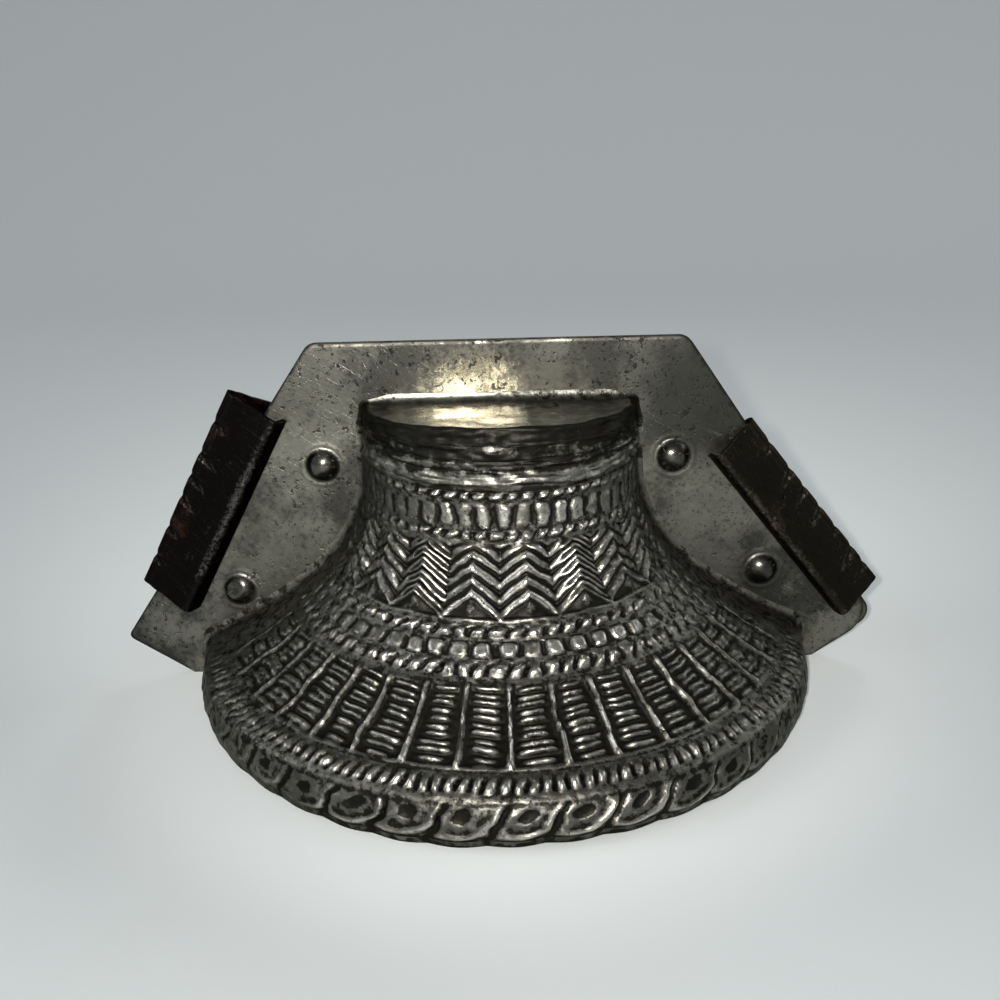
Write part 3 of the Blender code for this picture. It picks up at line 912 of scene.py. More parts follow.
def flange_tin(tree):
    worn = worn_attribute(tree)
    tarnished = use_group(tree, TARNISH, Amount=0.5, Softness=0.09)
    pitted = use_group(tree, PITS, Amount=0.72)["Mask"]
    scratched = use_group(tree, SCRATCHES, Amount=1.0)
    rusty = use_group(tree, RUST, Amount=0.22)
    place = object_place(tree)
    height = add_node(tree, "ShaderNodeSeparateXYZ", {0: place}, "Z")
    edge = ease(worn + (tarnished["Clouds"] - 0.5) * 0.8, 0.62, 0.9)
    # Painted shade darkens the domes, which are also smoother
    dome = ease(worn, 0.34, 0.08)
    stains = cloud(place, 34.0, 6.0, 0.62)
    mottle = cloud(place, 900.0, 4.0, 0.7) - 0.5
    dark = ease(distance_from(place, DARK_PATCH) + (stains - 0.5) * 0.05, 20.0 * MM, 6.0 * MM)
    stained = most(ease(stains + mottle * 0.15, 0.47, 0.6), dark)
    worked = ease(distance_from(place, SCRATCHED_PATCH), 26.0 * MM, 8.0 * MM)
    worked = most(worked, ease(cloud(place, 26.0, 2.0), 0.48, 0.66) * 0.7)
    # Smoother tin above the foot's face, with a painted highlight in its colour there
    smooth_and_highlight = ease(distance_from(place, SMOOTH_AND_HIGHLIGHT_PATCH) + mottle * 0.02, 11.0 * MM, 5.0 * MM)
    colour = layered(tree, FLANGE_GREY, (
        (tarnished["Mask"] * 0.7, FLANGE_DULL),
        # Painted shade: the flange darkens towards its top
        (ease(height, 44.0 * MM, 60.0 * MM) * 0.5, FLANGE_STAIN),
        (stained * 0.85, FLANGE_STAIN),
        (ease(mottle, 0.02, 0.16) * 0.5, FLANGE_STAIN),
        (scratched["Mask"] * worked * 0.8, BRIGHT_TIN),
        (smooth_and_highlight * 0.25, FLANGE_PAINTED_HIGHLIGHT),
        (pitted * 0.85, DARK_TARNISH),
        (rusty["Mask"] * 0.7, FLANGE_RUST),
        (edge * 0.85, FLANGE_EDGE),
        (dome * 0.5, FLANGE_DOME_SHADE),
    ))
    rough = blend_number(tarnished["Mask"], 0.36, 0.46) + pitted * 0.2 + (stains - 0.5) * 0.3
    rough = rough + mottle * 0.2 - smooth_and_highlight * 0.2 - dome * 0.15
    metal = 1 - most(pitted * 0.5, rusty["Mask"] * 0.5)
    grain = scratched["Height"] * 0.6 + rusty["Grain"] * 0.3 + mottle * 0.3 - pitted * 0.8
    return colour, rough, metal, grain, 0.06 * MM


# %% Steel of the clips
STEEL_GRIME = (0.008, 0.007, 0.006)
STEEL_PIT = (0.006, 0.005, 0.004)
STEEL_ROUGHNESS = 0.34


def clip_steel(dark, brown, scuffed, rust_amount, tree):
    worn = worn_attribute(tree)
    tarnished = use_group(tree, TARNISH, Amount=0.5, Softness=0.1)
    rusty = use_group(tree, RUST, Amount=rust_amount)
    scratched = use_group(tree, SCRATCHES, Amount=0.8)
    pitted = use_group(tree, PITS, Amount=0.55)["Mask"]
    mottle = cloud(object_place(tree), 1500.0, 4.0, 0.7) - 0.5
    edge = ease(worn + (tarnished["Clouds"] - 0.5) * 2.8 + mottle * 2.2, 0.66, 1.25)
    colour = layered(tree, dark, (
        (rusty["Mask"], brown),
        (ease(mottle, 0.0, 0.2) * 0.6, STEEL_GRIME),
        (scratched["Mask"] * 0.3, scuffed),
        (edge * 0.75, scuffed),
        (pitted * 0.6, STEEL_PIT),
    ))
    rough = blend_number(rusty["Mask"], STEEL_ROUGHNESS, STEEL_ROUGHNESS + 0.18) - edge * 0.08
    metal = 1 - rusty["Mask"] * 0.3
    grain = rusty["Grain"] * 0.7 + scratched["Height"] * 0.3 + mottle * 0.4 - pitted
    return colour, rough, metal, grain, 0.08 * MM


black_steel = partial(
    clip_steel, (0.010, 0.0082, 0.0078), (0.038, 0.015, 0.009), (0.12, 0.112, 0.105), 0.5,
)
brown_steel = partial(
    clip_steel, (0.022, 0.019, 0.0145), (0.04, 0.026, 0.016), (0.11, 0.095, 0.075), 0.42,
)
WALL_TIN = new_metal("tarnished_wall_tin", wall_tin)
FLANGE_TIN = new_metal("scratched_flange_tin", flange_tin)
DARK_STEEL = new_metal("black_spring_steel", black_steel)
BROWN_STEEL = new_metal("brown_spring_steel", brown_steel)

# %% Helpers for pieces
HALVES = (("front", -1, "front_half", "front_tin"), ("back", 1, "back_half", "back_tin"))
SMOOTH_LIMIT = math.radians(75)
BEVEL_LIMIT = math.radians(60)


def finish_piece(item, body, node):
    """Shade the piece, attach it to its body and hide the imported part it stands in for."""
    mesh = item.data
    shape = bmesh.new()
    shape.from_mesh(mesh)
    bmesh.ops.remove_doubles(shape, verts=shape.verts, dist=MERGE_DISTANCE)
    bmesh.ops.recalc_face_normals(shape, faces=shape.faces)
    open_edges = sum(1 for edge in shape.edges if not edge.is_manifold)
    triangles = sum(len(face.verts) - 2 for face in shape.faces)
    shape.to_mesh(mesh)
    shape.free()
    mesh.shade_smooth()
    mesh.set_sharp_from_angle(angle=SMOOTH_LIMIT)
    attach(item, body)
    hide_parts(node)
    print(item.name, "has", triangles, "triangles and", open_edges, "open edges")


def baked(item):
    """Swap the item's mesh for what its modifiers make, and remove them."""
    view = bpy.context.evaluated_depsgraph_get()
    mesh = bpy.data.meshes.new_from_object(item.evaluated_get(view))
    item.modifiers.clear()
    item.data = mesh
    return item


def bevelled(item, width):
    """Round the item's sharp edges, and bake it."""
    edge = item.modifiers.new("edge", "BEVEL")
    edge.width = width
    edge.segments = 2
    edge.limit_method = "ANGLE"
    edge.angle_limit = BEVEL_LIMIT
    return baked(item)


# %% Bands of the wall
# Formula, repeats in a half turn, height of the relief and pitch of the grid, both in mm
BAND_LOOKS = {
    "rim_edge": (edge, LOBES_PER_HALF, 1.1, 0.3),
    "braid": (braid, LOBES_PER_HALF, 1.0, 0.24),
    "low_rope": (rope, 82, 0.75, 0.22),
    "panels": (panels, 19, 1.0, 0.24),
    "panel_rope": (rope, 42, 0.8, 0.22),
    "small_pads": (pads, 28, 0.75, 0.24),
    "middle_rope": (rope, 34, 0.75, 0.22),
    "herringbone": (herringbone, 19.35, 0.75, 0.2),
    "upper_rope": (rope, 31, 0.75, 0.22),
    "pads": (pads, 24, 0.5, 0.24),
    "top_rope": (rope, 30, 0.75, 0.22),
}
COLUMN_STRETCH = 1.2
RIM_FADE = math.radians(78.0)
WALL_FADE = math.radians(64.0)


def band_item(name, tree, values):
    """One band of one half, made by its tree from these sizes."""
    item = new_item(name, bpy.data.meshes.new(name))
    modifier = item.modifiers.new("band", "NODES")
    modifier.node_group = tree
    for socket in tree.interface.items_tree:
        if socket.in_out == "INPUT":
            modifier[socket.identifier] = values[socket.name]
    return baked(item)


trees = {}
for band_name, (formula, repeats, relief, pitch) in BAND_LOOKS.items():
    if formula not in trees:
        trees[formula] = band_tree(formula.__name__, formula)
    low, high = band_limits(band_name)
    middle_radius = plain_radius((low + high) / 2)
    drawn_length = math.hypot(high - low, plain_radius(low) - plain_radius(high))
    for half, side, node, slot in HALVES:
        item = band_item(f"{half}_{band_name}", trees[formula], {
            "Columns": round(HALF_TURN * middle_radius / (pitch * COLUMN_STRETCH * MM)),
            "Rows": max(round(drawn_length / (pitch * MM)), 4),
            "Side": float(side),
            "Low": low,
            "High": high,
            "Repeats": float(repeats),
            "Relief": relief * MM,
            "Fade": RIM_FADE if formula in (braid, edge) else WALL_FADE,
            "Metal": WALL_TIN,
        })
        finish_piece(item, "mould", node)

# %% [markdown]
# ## Foot of the basket
# Above the pattern the sheet runs straight up in a few plain hoops and ends in a flat round
# face. It has no repeats, so it is a turned shape: one section, drawn as points down the sheet's
# outside and back up its inside, is swept round the half. Spin or the Screw modifier would do
# that too, but placing the sections in code lets the fillet at the flange and the dents of a
# used mould go in at the same time.

# %% Section of the foot
FOOT_SHOULDER = 0.8 * MM
FOOT_PITCH = 0.16 * MM
SHOULDER_STEPS = 8
FACE_RADIUS = FOOT_RADIUS - FOOT_SHOULDER
FACE_STEPS = 34
# Height and how far the sheet stands out there, both in mm
FOOT_LINE = (
    (46.4, 0.0), (46.8, 0.3), (47.4, 0.75), (48.2, 0.9), (49.0, 0.75), (49.6, 0.35), (50.0, -0.12),
    (50.4, 0.15), (50.9, 0.42), (51.4, 0.28), (51.75, -0.18), (52.1, 0.1), (53.6, 0.12),
    (54.1, 0.34), (54.6, 0.36), (54.9, 0.06), (56.0, -0.04), (57.0, 0.0), (57.8, 0.0),
)


def between(value, points):
    """A soft line through (value, result) points."""
    for (start, first), (end, second) in zip(points, points[1:]):
        if value <= end:
            return first + (second - first) * soft_step(value, start, end)
    return points[-1][1]


def quarter_circle(centre, radius, steps):
    """Points of an arc from the right of its centre to the top."""
    turns = [QUARTER_TURN * step / steps for step in range(steps + 1)]
    return [centre + radius * Vector((math.cos(turn), math.sin(turn))) for turn in turns]


def foot_outside():
    """Points (radius, height) of the outside, from the lowest hoop up to the middle of the face."""
    line = []
    z = FOOT_LOW
    top = BASKET_HEIGHT - FOOT_SHOULDER
    while z < top - FOOT_PITCH / 2:
        line.append(Vector((FOOT_RADIUS + between(z / MM, FOOT_LINE) * MM, z)))
        z += FOOT_PITCH
    line += quarter_circle(Vector((FACE_RADIUS, top)), FOOT_SHOULDER, SHOULDER_STEPS)
    for step in range(1, FACE_STEPS + 1):
        line.append(Vector((FACE_RADIUS * (1 - step / FACE_STEPS), BASKET_HEIGHT)))
    return line


def crosswise(line, index):
    """Unit vector across a line of 2-D points, to the right of its run."""
    before = line[max(index - 1, 0)]
    after = line[min(index + 1, len(line) - 1)]
    along = (after - before).normalized()
    return Vector((along.y, -along.x))


# %% Dents and fillets of the foot
FOOT_DENT = 0.45 * MM
FOOT_DENT_SIZE = 14.0 * MM
FOOT_LUMP = 0.42 * MM
FOOT_LUMP_SIZE = 3.0 * MM
LONG_DENT = 0.38 * MM
SHORT_DENT = 0.3 * MM
FACE_DISH = 0.1 * MM
FACE_FILLET = 1.6 * MM
CORNER_FILLET = 0.6 * MM
HOOPS_WHOLE = math.radians(70)
# The face leans in towards the seam, so that the chocolate stands on its outer edge
FACE_DROP = 2.2 * MM
FACE_BOW = 1.6


def fillet_lift(away, radius):
    """How far the fillet stands off the wall at this distance from the flange."""
    close = max(radius - away, 0.0)
    return radius - math.sqrt(max(radius ** 2 - close ** 2, 0.0))


def hoop_left(angle, z, side):
    """How much of a hoop is left at a place: long stretches of each are beaten nearly flat."""
    broken = rumble(angle * 3.4, z / (1.4 * MM), 4.0 * side)
    at_seam = soft_step(abs(angle), RELIEF_FADE_START, HOOPS_WHOLE)
    return at_seam * (0.25 + 0.75 * soft_step(broken, -0.35, 0.3))


def foot_dent(angle, point, away, side, on_face):
    """Soft dents and lumps all over, and long shallow hammer marks round the side."""
    spot = Vector((point.x * math.sin(angle), side * away, point.y))
    soft = noise.noise(spot / FOOT_DENT_SIZE * 1.7 + Vector((3.0, 0.0, 5.0))) - 0.35
    dent = soft * FOOT_DENT + noise.noise(spot / FOOT_LUMP_SIZE) * FOOT_LUMP * (1 - 0.6 * on_face)
    marks = rumble(angle * 4.5, point.y / (1.8 * MM), 9.0 + side) * LONG_DENT
    marks += rumble(angle * 11.0, point.y / (1.0 * MM), 2.0 + side) * SHORT_DENT
    dent += marks * (1 - on_face)
    return dent * soft_step(point.y, FOOT_LOW, FOOT_LOW + 2 * MM) * soft_step(away, 0.0, 4 * MM)


def foot_fillet(point, angle, away, on_face):
    """Fillets of wall and face; both grow tighter towards the corner where they meet."""
    across = point.x * abs(math.sin(angle))
    on_wall = 1 - soft_step(point.y, FOOT_LOW + 4 * MM, BASKET_HEIGHT - FOOT_SHOULDER)
    wall_fillet = CORNER_FILLET + (FILLET - CORNER_FILLET) * on_wall
    inward = soft_step(FOOT_RADIUS - across, FOOT_SHOULDER, 6 * MM)
    face_fillet = CORNER_FILLET + (FACE_FILLET - CORNER_FILLET) * inward
    return fillet_lift(away, wall_fillet + (face_fillet - wall_fillet) * on_face)


def foot_point(angle, point, normal, through, side):
    """Place of one point of the section at this angle; through is the depth into the sheet."""
    on_face = soft_step(FOOT_RADIUS - point.x, 0.0, FOOT_SHOULDER)
    dished = soft_step(FOOT_RADIUS - point.x, 1.5 * MM, 6 * MM)
    hoop = max(point.x - FOOT_RADIUS, 0.0)
    plain = Vector((point.x - hoop * (1 - hoop_left(angle, point.y, side)), point.y))
    away = plain.x * math.cos(angle)
    dent = foot_dent(angle, plain, away, side, on_face)
    dish = FACE_DISH * dished * soft_step(away, 0.5 * MM, 6 * MM)
    out = dent - dish + foot_fillet(plain, angle, away, on_face) - through
    moved = plain + normal * out
    lean = 1 - min(max(away / FOOT_RADIUS, 0.0), 1.0) ** FACE_BOW
    moved.y -= FACE_DROP * lean * soft_step(point.y, FOOT_LOW + 3 * MM, BASKET_HEIGHT)
    drawn_in = 1 - (LIP - WALL_MIDDLE) / FOOT_RADIUS
    y = side * (LIP + moved.x * math.cos(angle) * drawn_in)
    return moved.x * math.sin(angle), y, moved.y


# %% Wear of the foot, with painted light on its face
def face_wear_and_highlight(angle, point):
    """The face is rubbed bare left of its middle, and a painted highlight lifts its colour past any
    crest there; right of its middle, along the flange, it is darker: painted shade.
    """
    x = point.x * math.sin(angle) / MM
    away = point.x * math.cos(angle)
    bare = 0.45 * soft_step(x, -21.0, -18.0) + 0.65 * soft_step(x, -13.0, -9.5)
    bare *= 1 - soft_step(x, 2.0, 5.5)
    bare *= 1.0 + 0.4 * rumble(x / 2.4, away / (4 * MM), 8.0)
    off_flange = soft_step(away, 0.8 * MM, 2.5 * MM)
    # Painted shade: the fillet along the flange grows darker right of the middle
    return 0.64 - 0.22 * soft_step(x, -6.0, 10.0) * (1 - off_flange) + 0.9 * bare * off_flange


def foot_wear_and_highlight(angle, point, side):
    """Hoops are rubbed; the tin is dark between the upper two and in patches under the face. The face
    takes the painted light of face_wear_and_highlight.
    """
    if point.x < FACE_RADIUS:
        return face_wear_and_highlight(angle, point)
    height = point.y / MM
    hoop = soft_step(between(height, FOOT_LINE), 0.05, 0.8)
    ring = soft_step(height, 54.6, 55.2) * (1 - soft_step(height, 57.2, 57.6))
    cloudy = rumble(angle * 5.0, height / 2.2, 6.0 * side)
    patches = soft_step(cloudy + 0.75 * soft_step(height, 52.5, 55.5), 0.0, 0.6)
    return 0.36 + 0.36 * hoop - 0.25 * ring - 0.42 * patches


# %% Foot pieces
FOOT_STATIONS = 300


def swept(name, loops, worn, material):
    """A closed shell through closed loops of points, with a face over each end."""
    shape = bmesh.new()
    layer = shape.verts.layers.float.new("relief")
    rings = []
    for loop, values in zip(loops, worn):
        ring = [shape.verts.new(point) for point in loop]
        for vertex, value in zip(ring, values):
            vertex[layer] = value
        rings.append(ring)
    for first, second in zip(rings, rings[1:]):
        for index in range(len(first)):
            after = (index + 1) % len(first)
            shape.faces.new((first[index], first[after], second[after], second[index]))
    half = len(rings[0]) // 2
    for ring in (rings[0], rings[-1]):
        for index in range(half - 1):
            mirror = len(ring) - 1 - index
            shape.faces.new((ring[index], ring[index + 1], ring[mirror - 1], ring[mirror]))
    return item_from(name, shape, material)


outside = foot_outside()
outside_normals = [crosswise(outside, index) for index in range(len(outside))]
outside_normals[-1] = Vector((0.0, 1.0))
section = list(zip(outside, outside_normals))
for half, side, node, slot in HALVES:
    loops, worn = [], []
    for step in range(FOOT_STATIONS + 1):
        across = 2 * step / FOOT_STATIONS - 1
        crowded = across * (1 - END_CROWDING) + math.sin(across * QUARTER_TURN) * END_CROWDING
        angle = QUARTER_TURN * crowded
        front = [foot_point(angle, point, normal, 0.0, side) for point, normal in section]
        back = [foot_point(angle, point, normal, SHEET, side) for point, normal in section]
        loops.append(front + back[::-1])
        # Wear of each point; on the face it also holds painted light
        here = [foot_wear_and_highlight(angle, point, side) for point in outside]
        worn.append(here + here[::-1])
    item = swept(f"{half}_foot", loops, worn, WALL_TIN)
    finish_piece(item, "mould", node)

# %% [markdown]
# ## Flanges
# Round the wall each half has a flat flange, cut from the same sheet. It is a plain plate, but
# with four pressed domes, soft bends and worn edges. A triangulation that keeps the outline
# and takes extra points where a dome needs them gives a light mesh; the points are then
# pushed out of the plane, and Solidify and Bevel give the sheet its thickness and its edge.

# %% Outline of a flange
FLANGE_HEIGHT = 66.9 * MM
FLANGE_TOP_WIDTH = 70.0 * MM
FLANGE_WIDTH = 150.6 * MM
FLANGE_CORNER_HEIGHT = 8.5 * MM
FLANGE_BASE_WIDTH = 126.0 * MM
# Radius of the top corners, then of the left and the right low corner
FLANGE_CORNERS = {"front": (3.0 * MM, 1.2 * MM, 6.5 * MM), "back": (3.0 * MM, 1.0 * MM, 3.4 * MM)}
CORNER_STEPS = 8
CUT_INSIDE_WALL = 0.35 * MM
INNER_STEPS = 60
OUTLINE_PITCH = 1.2 * MM

EDGE_TOP = Vector((FLANGE_TOP_WIDTH / 2, FLANGE_HEIGHT))
EDGE_LOW = Vector((FLANGE_WIDTH / 2, FLANGE_CORNER_HEIGHT))
EDGE_DOWN = (EDGE_LOW - EDGE_TOP).normalized()
EDGE_OUT = Vector((-EDGE_DOWN.y, EDGE_DOWN.x))


def rounded(corner, before, after, radius):
    """Points of the arc that rounds one corner of an outline."""
    towards_before = (before - corner).normalized()
    towards_after = (after - corner).normalized()
    half_angle = towards_before.angle(towards_after) / 2
    centre = corner + (towards_before + towards_after).normalized() * radius / math.sin(half_angle)
    first = corner + towards_before * radius / math.tan(half_angle) - centre
    last = corner + towards_after * radius / math.tan(half_angle) - centre
    sweep = first.angle_signed(last)
    turns = [-sweep * step / CORNER_STEPS for step in range(CORNER_STEPS + 1)]
    return [centre + Matrix.Rotation(turn, 2) @ first for turn in turns]


def mirrored(line):
    """The same line on the other side of the middle."""
    return [Vector((-point.x, point.y)) for point in line]


def flange_side(top, low):
    """The outer edge of one side as (x, z), from its foot up to the top corner."""
    foot = Vector((FLANGE_BASE_WIDTH / 2, 0.0))
    across = Vector((-EDGE_TOP.x, EDGE_TOP.y))
    low_corner = rounded(EDGE_LOW, foot, EDGE_TOP, low)
    return [foot] + low_corner + rounded(EDGE_TOP, EDGE_LOW, across, top)


def subdivided(loop, pitch):
    """The same closed outline, with points no further apart than pitch."""
    dense = []
    for first, second in zip(loop, loop[1:] + loop[:1]):
        parts = max(math.ceil((second - first).length / pitch), 1)
        dense += [first.lerp(second, part / parts) for part in range(parts)]
    return dense


def flange_outer(corners):
    """The outer edge, from the right foot over the top to the left foot."""
    top, left_low, right_low = corners
    edge = flange_side(top, right_low) + mirrored(reversed(flange_side(top, left_low)))
    dense = subdivided(edge, OUTLINE_PITCH)
    left_foot = next(point for point in dense if point.x < 0 and point.y <= 0.0)
    return dense[: dense.index(left_foot) + 1]


def flange_inner():
    """The edge along the wall, from the left foot over the foot's end to the right foot."""
    top = BASKET_HEIGHT - FACE_DROP - CUT_INSIDE_WALL
    heights = [top * step / INNER_STEPS for step in range(INNER_STEPS + 1)]
    side = [Vector((plain_radius(z) - CUT_INSIDE_WALL, z)) for z in heights]
    return mirrored(side) + side[::-1]


# %% Domes and bends of the sheet
DOME_RADIUS = 3.15 * MM
DOME_HEIGHT = 1.8 * MM
DOME_PLACES = (
    Vector((-33.8, 43.6)) * MM,
    Vector((33.0, 43.8)) * MM,
    Vector((-52.0, 18.2)) * MM,
    Vector((51.4, 19.7)) * MM,
)
DOME_BALL = (DOME_RADIUS ** 2 + DOME_HEIGHT ** 2) / (2 * DOME_HEIGHT)
DOME_MIDDLE = -FLANGE_FACE - DOME_HEIGHT + DOME_BALL
DOME_BLEND = 0.5 * MM
COLLAR_RADIUS = 4.0 * MM
COLLAR_HEIGHT = 0.09 * MM
COLLAR_WIDTH = 0.3 * MM
# One dome has a dent in its upper left
DENTED_DOME = 2
DOME_DENT_PLACE = Vector((-0.9, 0.7)) * MM
DOME_DENT_DEPTH = 0.75 * MM
DOME_DENT_SIZE = 1.3 * MM
WAVE = 0.16 * MM
WAVE_SIZE = 22.0 * MM


def hill(away, size):
    """1 in the middle of a soft hill, and almost 0 at twice its size."""
    return math.exp(-(away / size) ** 2)


def dome_lift(spot, face):
    """How far the sheet whose face lies at this y is pressed towards the viewer at a spot."""
    lift = 0.0
    for index, place in enumerate(DOME_PLACES):
        away = (spot - place).length
        if away > 1.6 * COLLAR_RADIUS:
            continue
        ball = DOME_BALL - (face + FLANGE_FACE)
        round_lift = face - DOME_MIDDLE + math.sqrt(max(ball ** 2 - away ** 2, 0.0))
        # A soft maximum of the ball and the flat sheet makes the small fillet at its foot
        gap = max(DOME_BLEND - abs(round_lift), 0.0)
        round_lift = max(round_lift, 0.0) + gap * gap / (4 * DOME_BLEND)
        if index == DENTED_DOME:
            from_dent = (spot - place - DOME_DENT_PLACE).length
            round_lift -= DOME_DENT_DEPTH * hill(from_dent, DOME_DENT_SIZE)
        lift += max(round_lift, 0.0) + COLLAR_HEIGHT * hill(away - COLLAR_RADIUS, COLLAR_WIDTH)
    return lift


def sheet_wave(spot):
    """Soft bends of the sheet; they die out at the slanted edges, where the clips hold it."""
    from_edge = Vector((abs(spot.x), spot.y)) - EDGE_TOP
    calm = soft_step(-from_edge.dot(EDGE_OUT), 8 * MM, 14 * MM)
    ripple = noise.noise(Vector((spot.x, 0.0, spot.y)) / WAVE_SIZE)
    fine = noise.noise(Vector((spot.x, 5.0, spot.y)) / (WAVE_SIZE / 4)) * 0.25
    return (ripple + fine) * WAVE * calm


# %% Points of a flange
GRID_PITCH = 0.9 * MM
ROW_PITCH = 0.87 * GRID_PITCH
DOME_RINGS = 17
RINGS_REACH = 5.4 * MM
RING_PITCH = 0.38 * MM
GRID_CLEAR = 5.8 * MM


def dome_rings(place):
    """Points in close rings round the middle of a dome."""
    points = [place]
    for ring in range(1, DOME_RINGS + 1):
        radius = RINGS_REACH * ring / DOME_RINGS
        count = max(round(math.tau * radius / RING_PITCH), 6)
        for index in range(count):
            turn = math.tau * (index + 0.5 * (ring % 2)) / count
            points.append(place + Vector((math.cos(turn), math.sin(turn))) * radius)
    return points


def clear_inside(spot, outline):
    """True for a spot inside the outline and at least half a grid pitch away from it."""
    inside = False
    for first, second in zip(outline, outline[1:] + outline[:1]):
        if (first.y > spot.y) != (second.y > spot.y):
            crossing = first.x + (spot.y - first.y) / (second.y - first.y) * (second.x - first.x)
            if spot.x < crossing:
                inside = not inside
        if (first - spot).length < GRID_PITCH / 2:
            return False
    return inside


def flange_points(outline):
    """Points inside the outline: rings at the domes and an even grid elsewhere."""
    points = [point for place in DOME_PLACES for point in dome_rings(place)]
    columns = int(FLANGE_WIDTH / GRID_PITCH)
    for column in range(columns):
        for row in range(int(FLANGE_HEIGHT / ROW_PITCH)):
            x = (column - columns / 2 + 0.5 * (row % 2)) * GRID_PITCH
            spot = Vector((x, (row + 0.5) * ROW_PITCH))
            if min((spot - place).length for place in DOME_PLACES) > GRID_CLEAR:
                points.append(spot)
    return [spot for spot in points if clear_inside(spot, outline)]


# %% Flange pieces
EDGE_WEAR_WIDTH = 1.1 * MM
EDGE_BEVEL = 0.12 * MM
FLANGE_WORN = 0.4
TRIANGULATE_AND_KEEP_INSIDE = 1
SAME_SPOT = 1e-7


def flange_wear_and_dome_shade(away, lift):
    """Worn more at the outer edge, and least on the domes, which paints them darker: painted shade."""
    at_edge = soft_step(EDGE_WEAR_WIDTH - away, 0.0, EDGE_WEAR_WIDTH)
    on_dome = soft_step(lift, 0.15 * MM, 0.6 * MM)
    return FLANGE_WORN + 0.6 * at_edge - FLANGE_WORN * on_dome


def flange_item(half, face):
    """The flange of one half, whose front lies at this y."""
    outer = flange_outer(FLANGE_CORNERS[half])
    outline = outer + flange_inner()
    spots = outline + flange_points(outline)
    edges = [(index, (index + 1) % len(outline)) for index in range(len(outline))]
    found = geometry.delaunay_2d_cdt(spots, edges, [], TRIANGULATE_AND_KEEP_INSIDE, SAME_SPOT)
    shape = bmesh.new()
    layer = shape.verts.layers.float.new("relief")
    vertices = []
    for spot in found[0]:
        lift = dome_lift(spot, face)
        vertex = shape.verts.new((spot.x, face - lift + sheet_wave(spot), spot.y))
        vertex[layer] = flange_wear_and_dome_shade(min((spot - point).length for point in outer), lift)
        vertices.append(vertex)
    for triangle in found[2]:
        shape.faces.new([vertices[index] for index in triangle])
    loose = [vertex for vertex in shape.verts if not vertex.link_faces]
    bmesh.ops.delete(shape, geom=loose, context="VERTS")
    bmesh.ops.recalc_face_normals(shape, faces=shape.faces)
    if sum(one.normal.y * one.calc_area() for one in shape.faces) > 0:
        bmesh.ops.reverse_faces(shape, faces=shape.faces)
    item = item_from(f"{half}_flange", shape, FLANGE_TIN)
    thick = item.modifiers.new("sheet", "SOLIDIFY")
    thick.thickness = SHEET
    thick.offset = -1.0
    bevelled(item, EDGE_BEVEL)
    for vertex in item.data.vertices:
        vertex.co.z = min(max(vertex.co.z, 0.0), FLANGE_HEIGHT)
    return item


for half, side, node, slot in HALVES:
    item = flange_item(half, -FLANGE_FACE if half == "front" else SEAM_GAP / 2)
    finish_piece(item, "mould", node)

# %% [markdown]
# ## Clips
# Each clip is a strip of spring steel, folded along its length so that its two lips pinch the
# flanges. Small darts are hammered into the fold to stiffen it. It is a folded section drawn
# along the clip, station by station, which leaves every station free to take a dart, a bent
# end or an uneven lip.

# %% Sizes of the clips
CLIP_SHEET = 0.7 * MM
CLIP_LENGTH = 43.0 * MM
CLIP_GRIP_GAP = 0.3 * MM
CLIP_FOLD_GAP = 0.15 * MM
CLIP_FOLD_RADIUS = FLANGE_FACE + CLIP_FOLD_GAP + CLIP_SHEET / 2
CLIP_PITCH = 0.3 * MM
CLIP_BEVEL = 0.1 * MM
CREST_SOFTNESS = 1.3 * MM
LEG_BOW = 0.25 * MM
LEG_STEPS = 20
BEND_STEPS = 8
DART_DEPTH = 0.55 * MM
DART_DEEPEST = 1.2 * MM
DART_HALF_WIDTH = 1.25 * MM
DART_REACH = 5.0 * MM
DART_SLANT = 0.35
CREASE = 0.3 * MM
# The end edges lean a little and the lips wander, as hand shears leave them
END_LEAN = 0.35 * MM
LIP_WAVER = 0.12 * MM
# Turns are in degrees, and the darts' places are in mm from the upper end
LEFT_CLIP = {
    "depth": 12.3 * MM, "half_opening": 5.9 * MM, "lip_width": 1.6 * MM,
    "down": 37.1 * MM, "unseated": 1.8 * MM, "turn": 6.4,
    "darts": (6.4, 13.1, 18.2, 23.0, 29.9, 36.6),
}
RIGHT_CLIP = {
    "depth": 10.8 * MM, "half_opening": 5.6 * MM, "lip_width": 0.9 * MM,
    "down": 42.3 * MM, "unseated": 0.0, "turn": -4.1,
    "darts": (5.8, 12.6, 17.4, 22.9, 28.3, 34.0, 38.2),
}


# %% Section and place of a clip
def clip_half_line(sizes):
    """Centre line from the fold's apex over one leg to its lip, as (out, off)."""
    grip = FLANGE_FACE + CLIP_GRIP_GAP + CLIP_SHEET / 2
    lip = Vector((CLIP_SHEET / 2 - sizes["depth"], grip))
    crest = Vector((lip.x + sizes["lip_width"], sizes["half_opening"] - CLIP_SHEET / 2))
    fold_centre = Vector((-CLIP_SHEET / 2 - CLIP_FOLD_RADIUS, 0.0))
    line = quarter_circle(fold_centre, CLIP_FOLD_RADIUS, BEND_STEPS)
    start = line[-1]
    before = crest + (start - crest).normalized() * CREST_SOFTNESS
    after = crest + (lip - crest).normalized() * CREST_SOFTNESS
    bow = crosswise([start, before], 0) * LEG_BOW
    for step in range(1, LEG_STEPS):
        share = step / LEG_STEPS
        line.append(start.lerp(before, share) - bow * math.sin(HALF_TURN * share))
    for step in range(BEND_STEPS + 1):
        share = step / BEND_STEPS
        line.append(before.lerp(crest, share).lerp(crest.lerp(after, share), share))
    return line + [after.lerp(lip, step / BEND_STEPS) for step in range(1, BEND_STEPS + 1)]


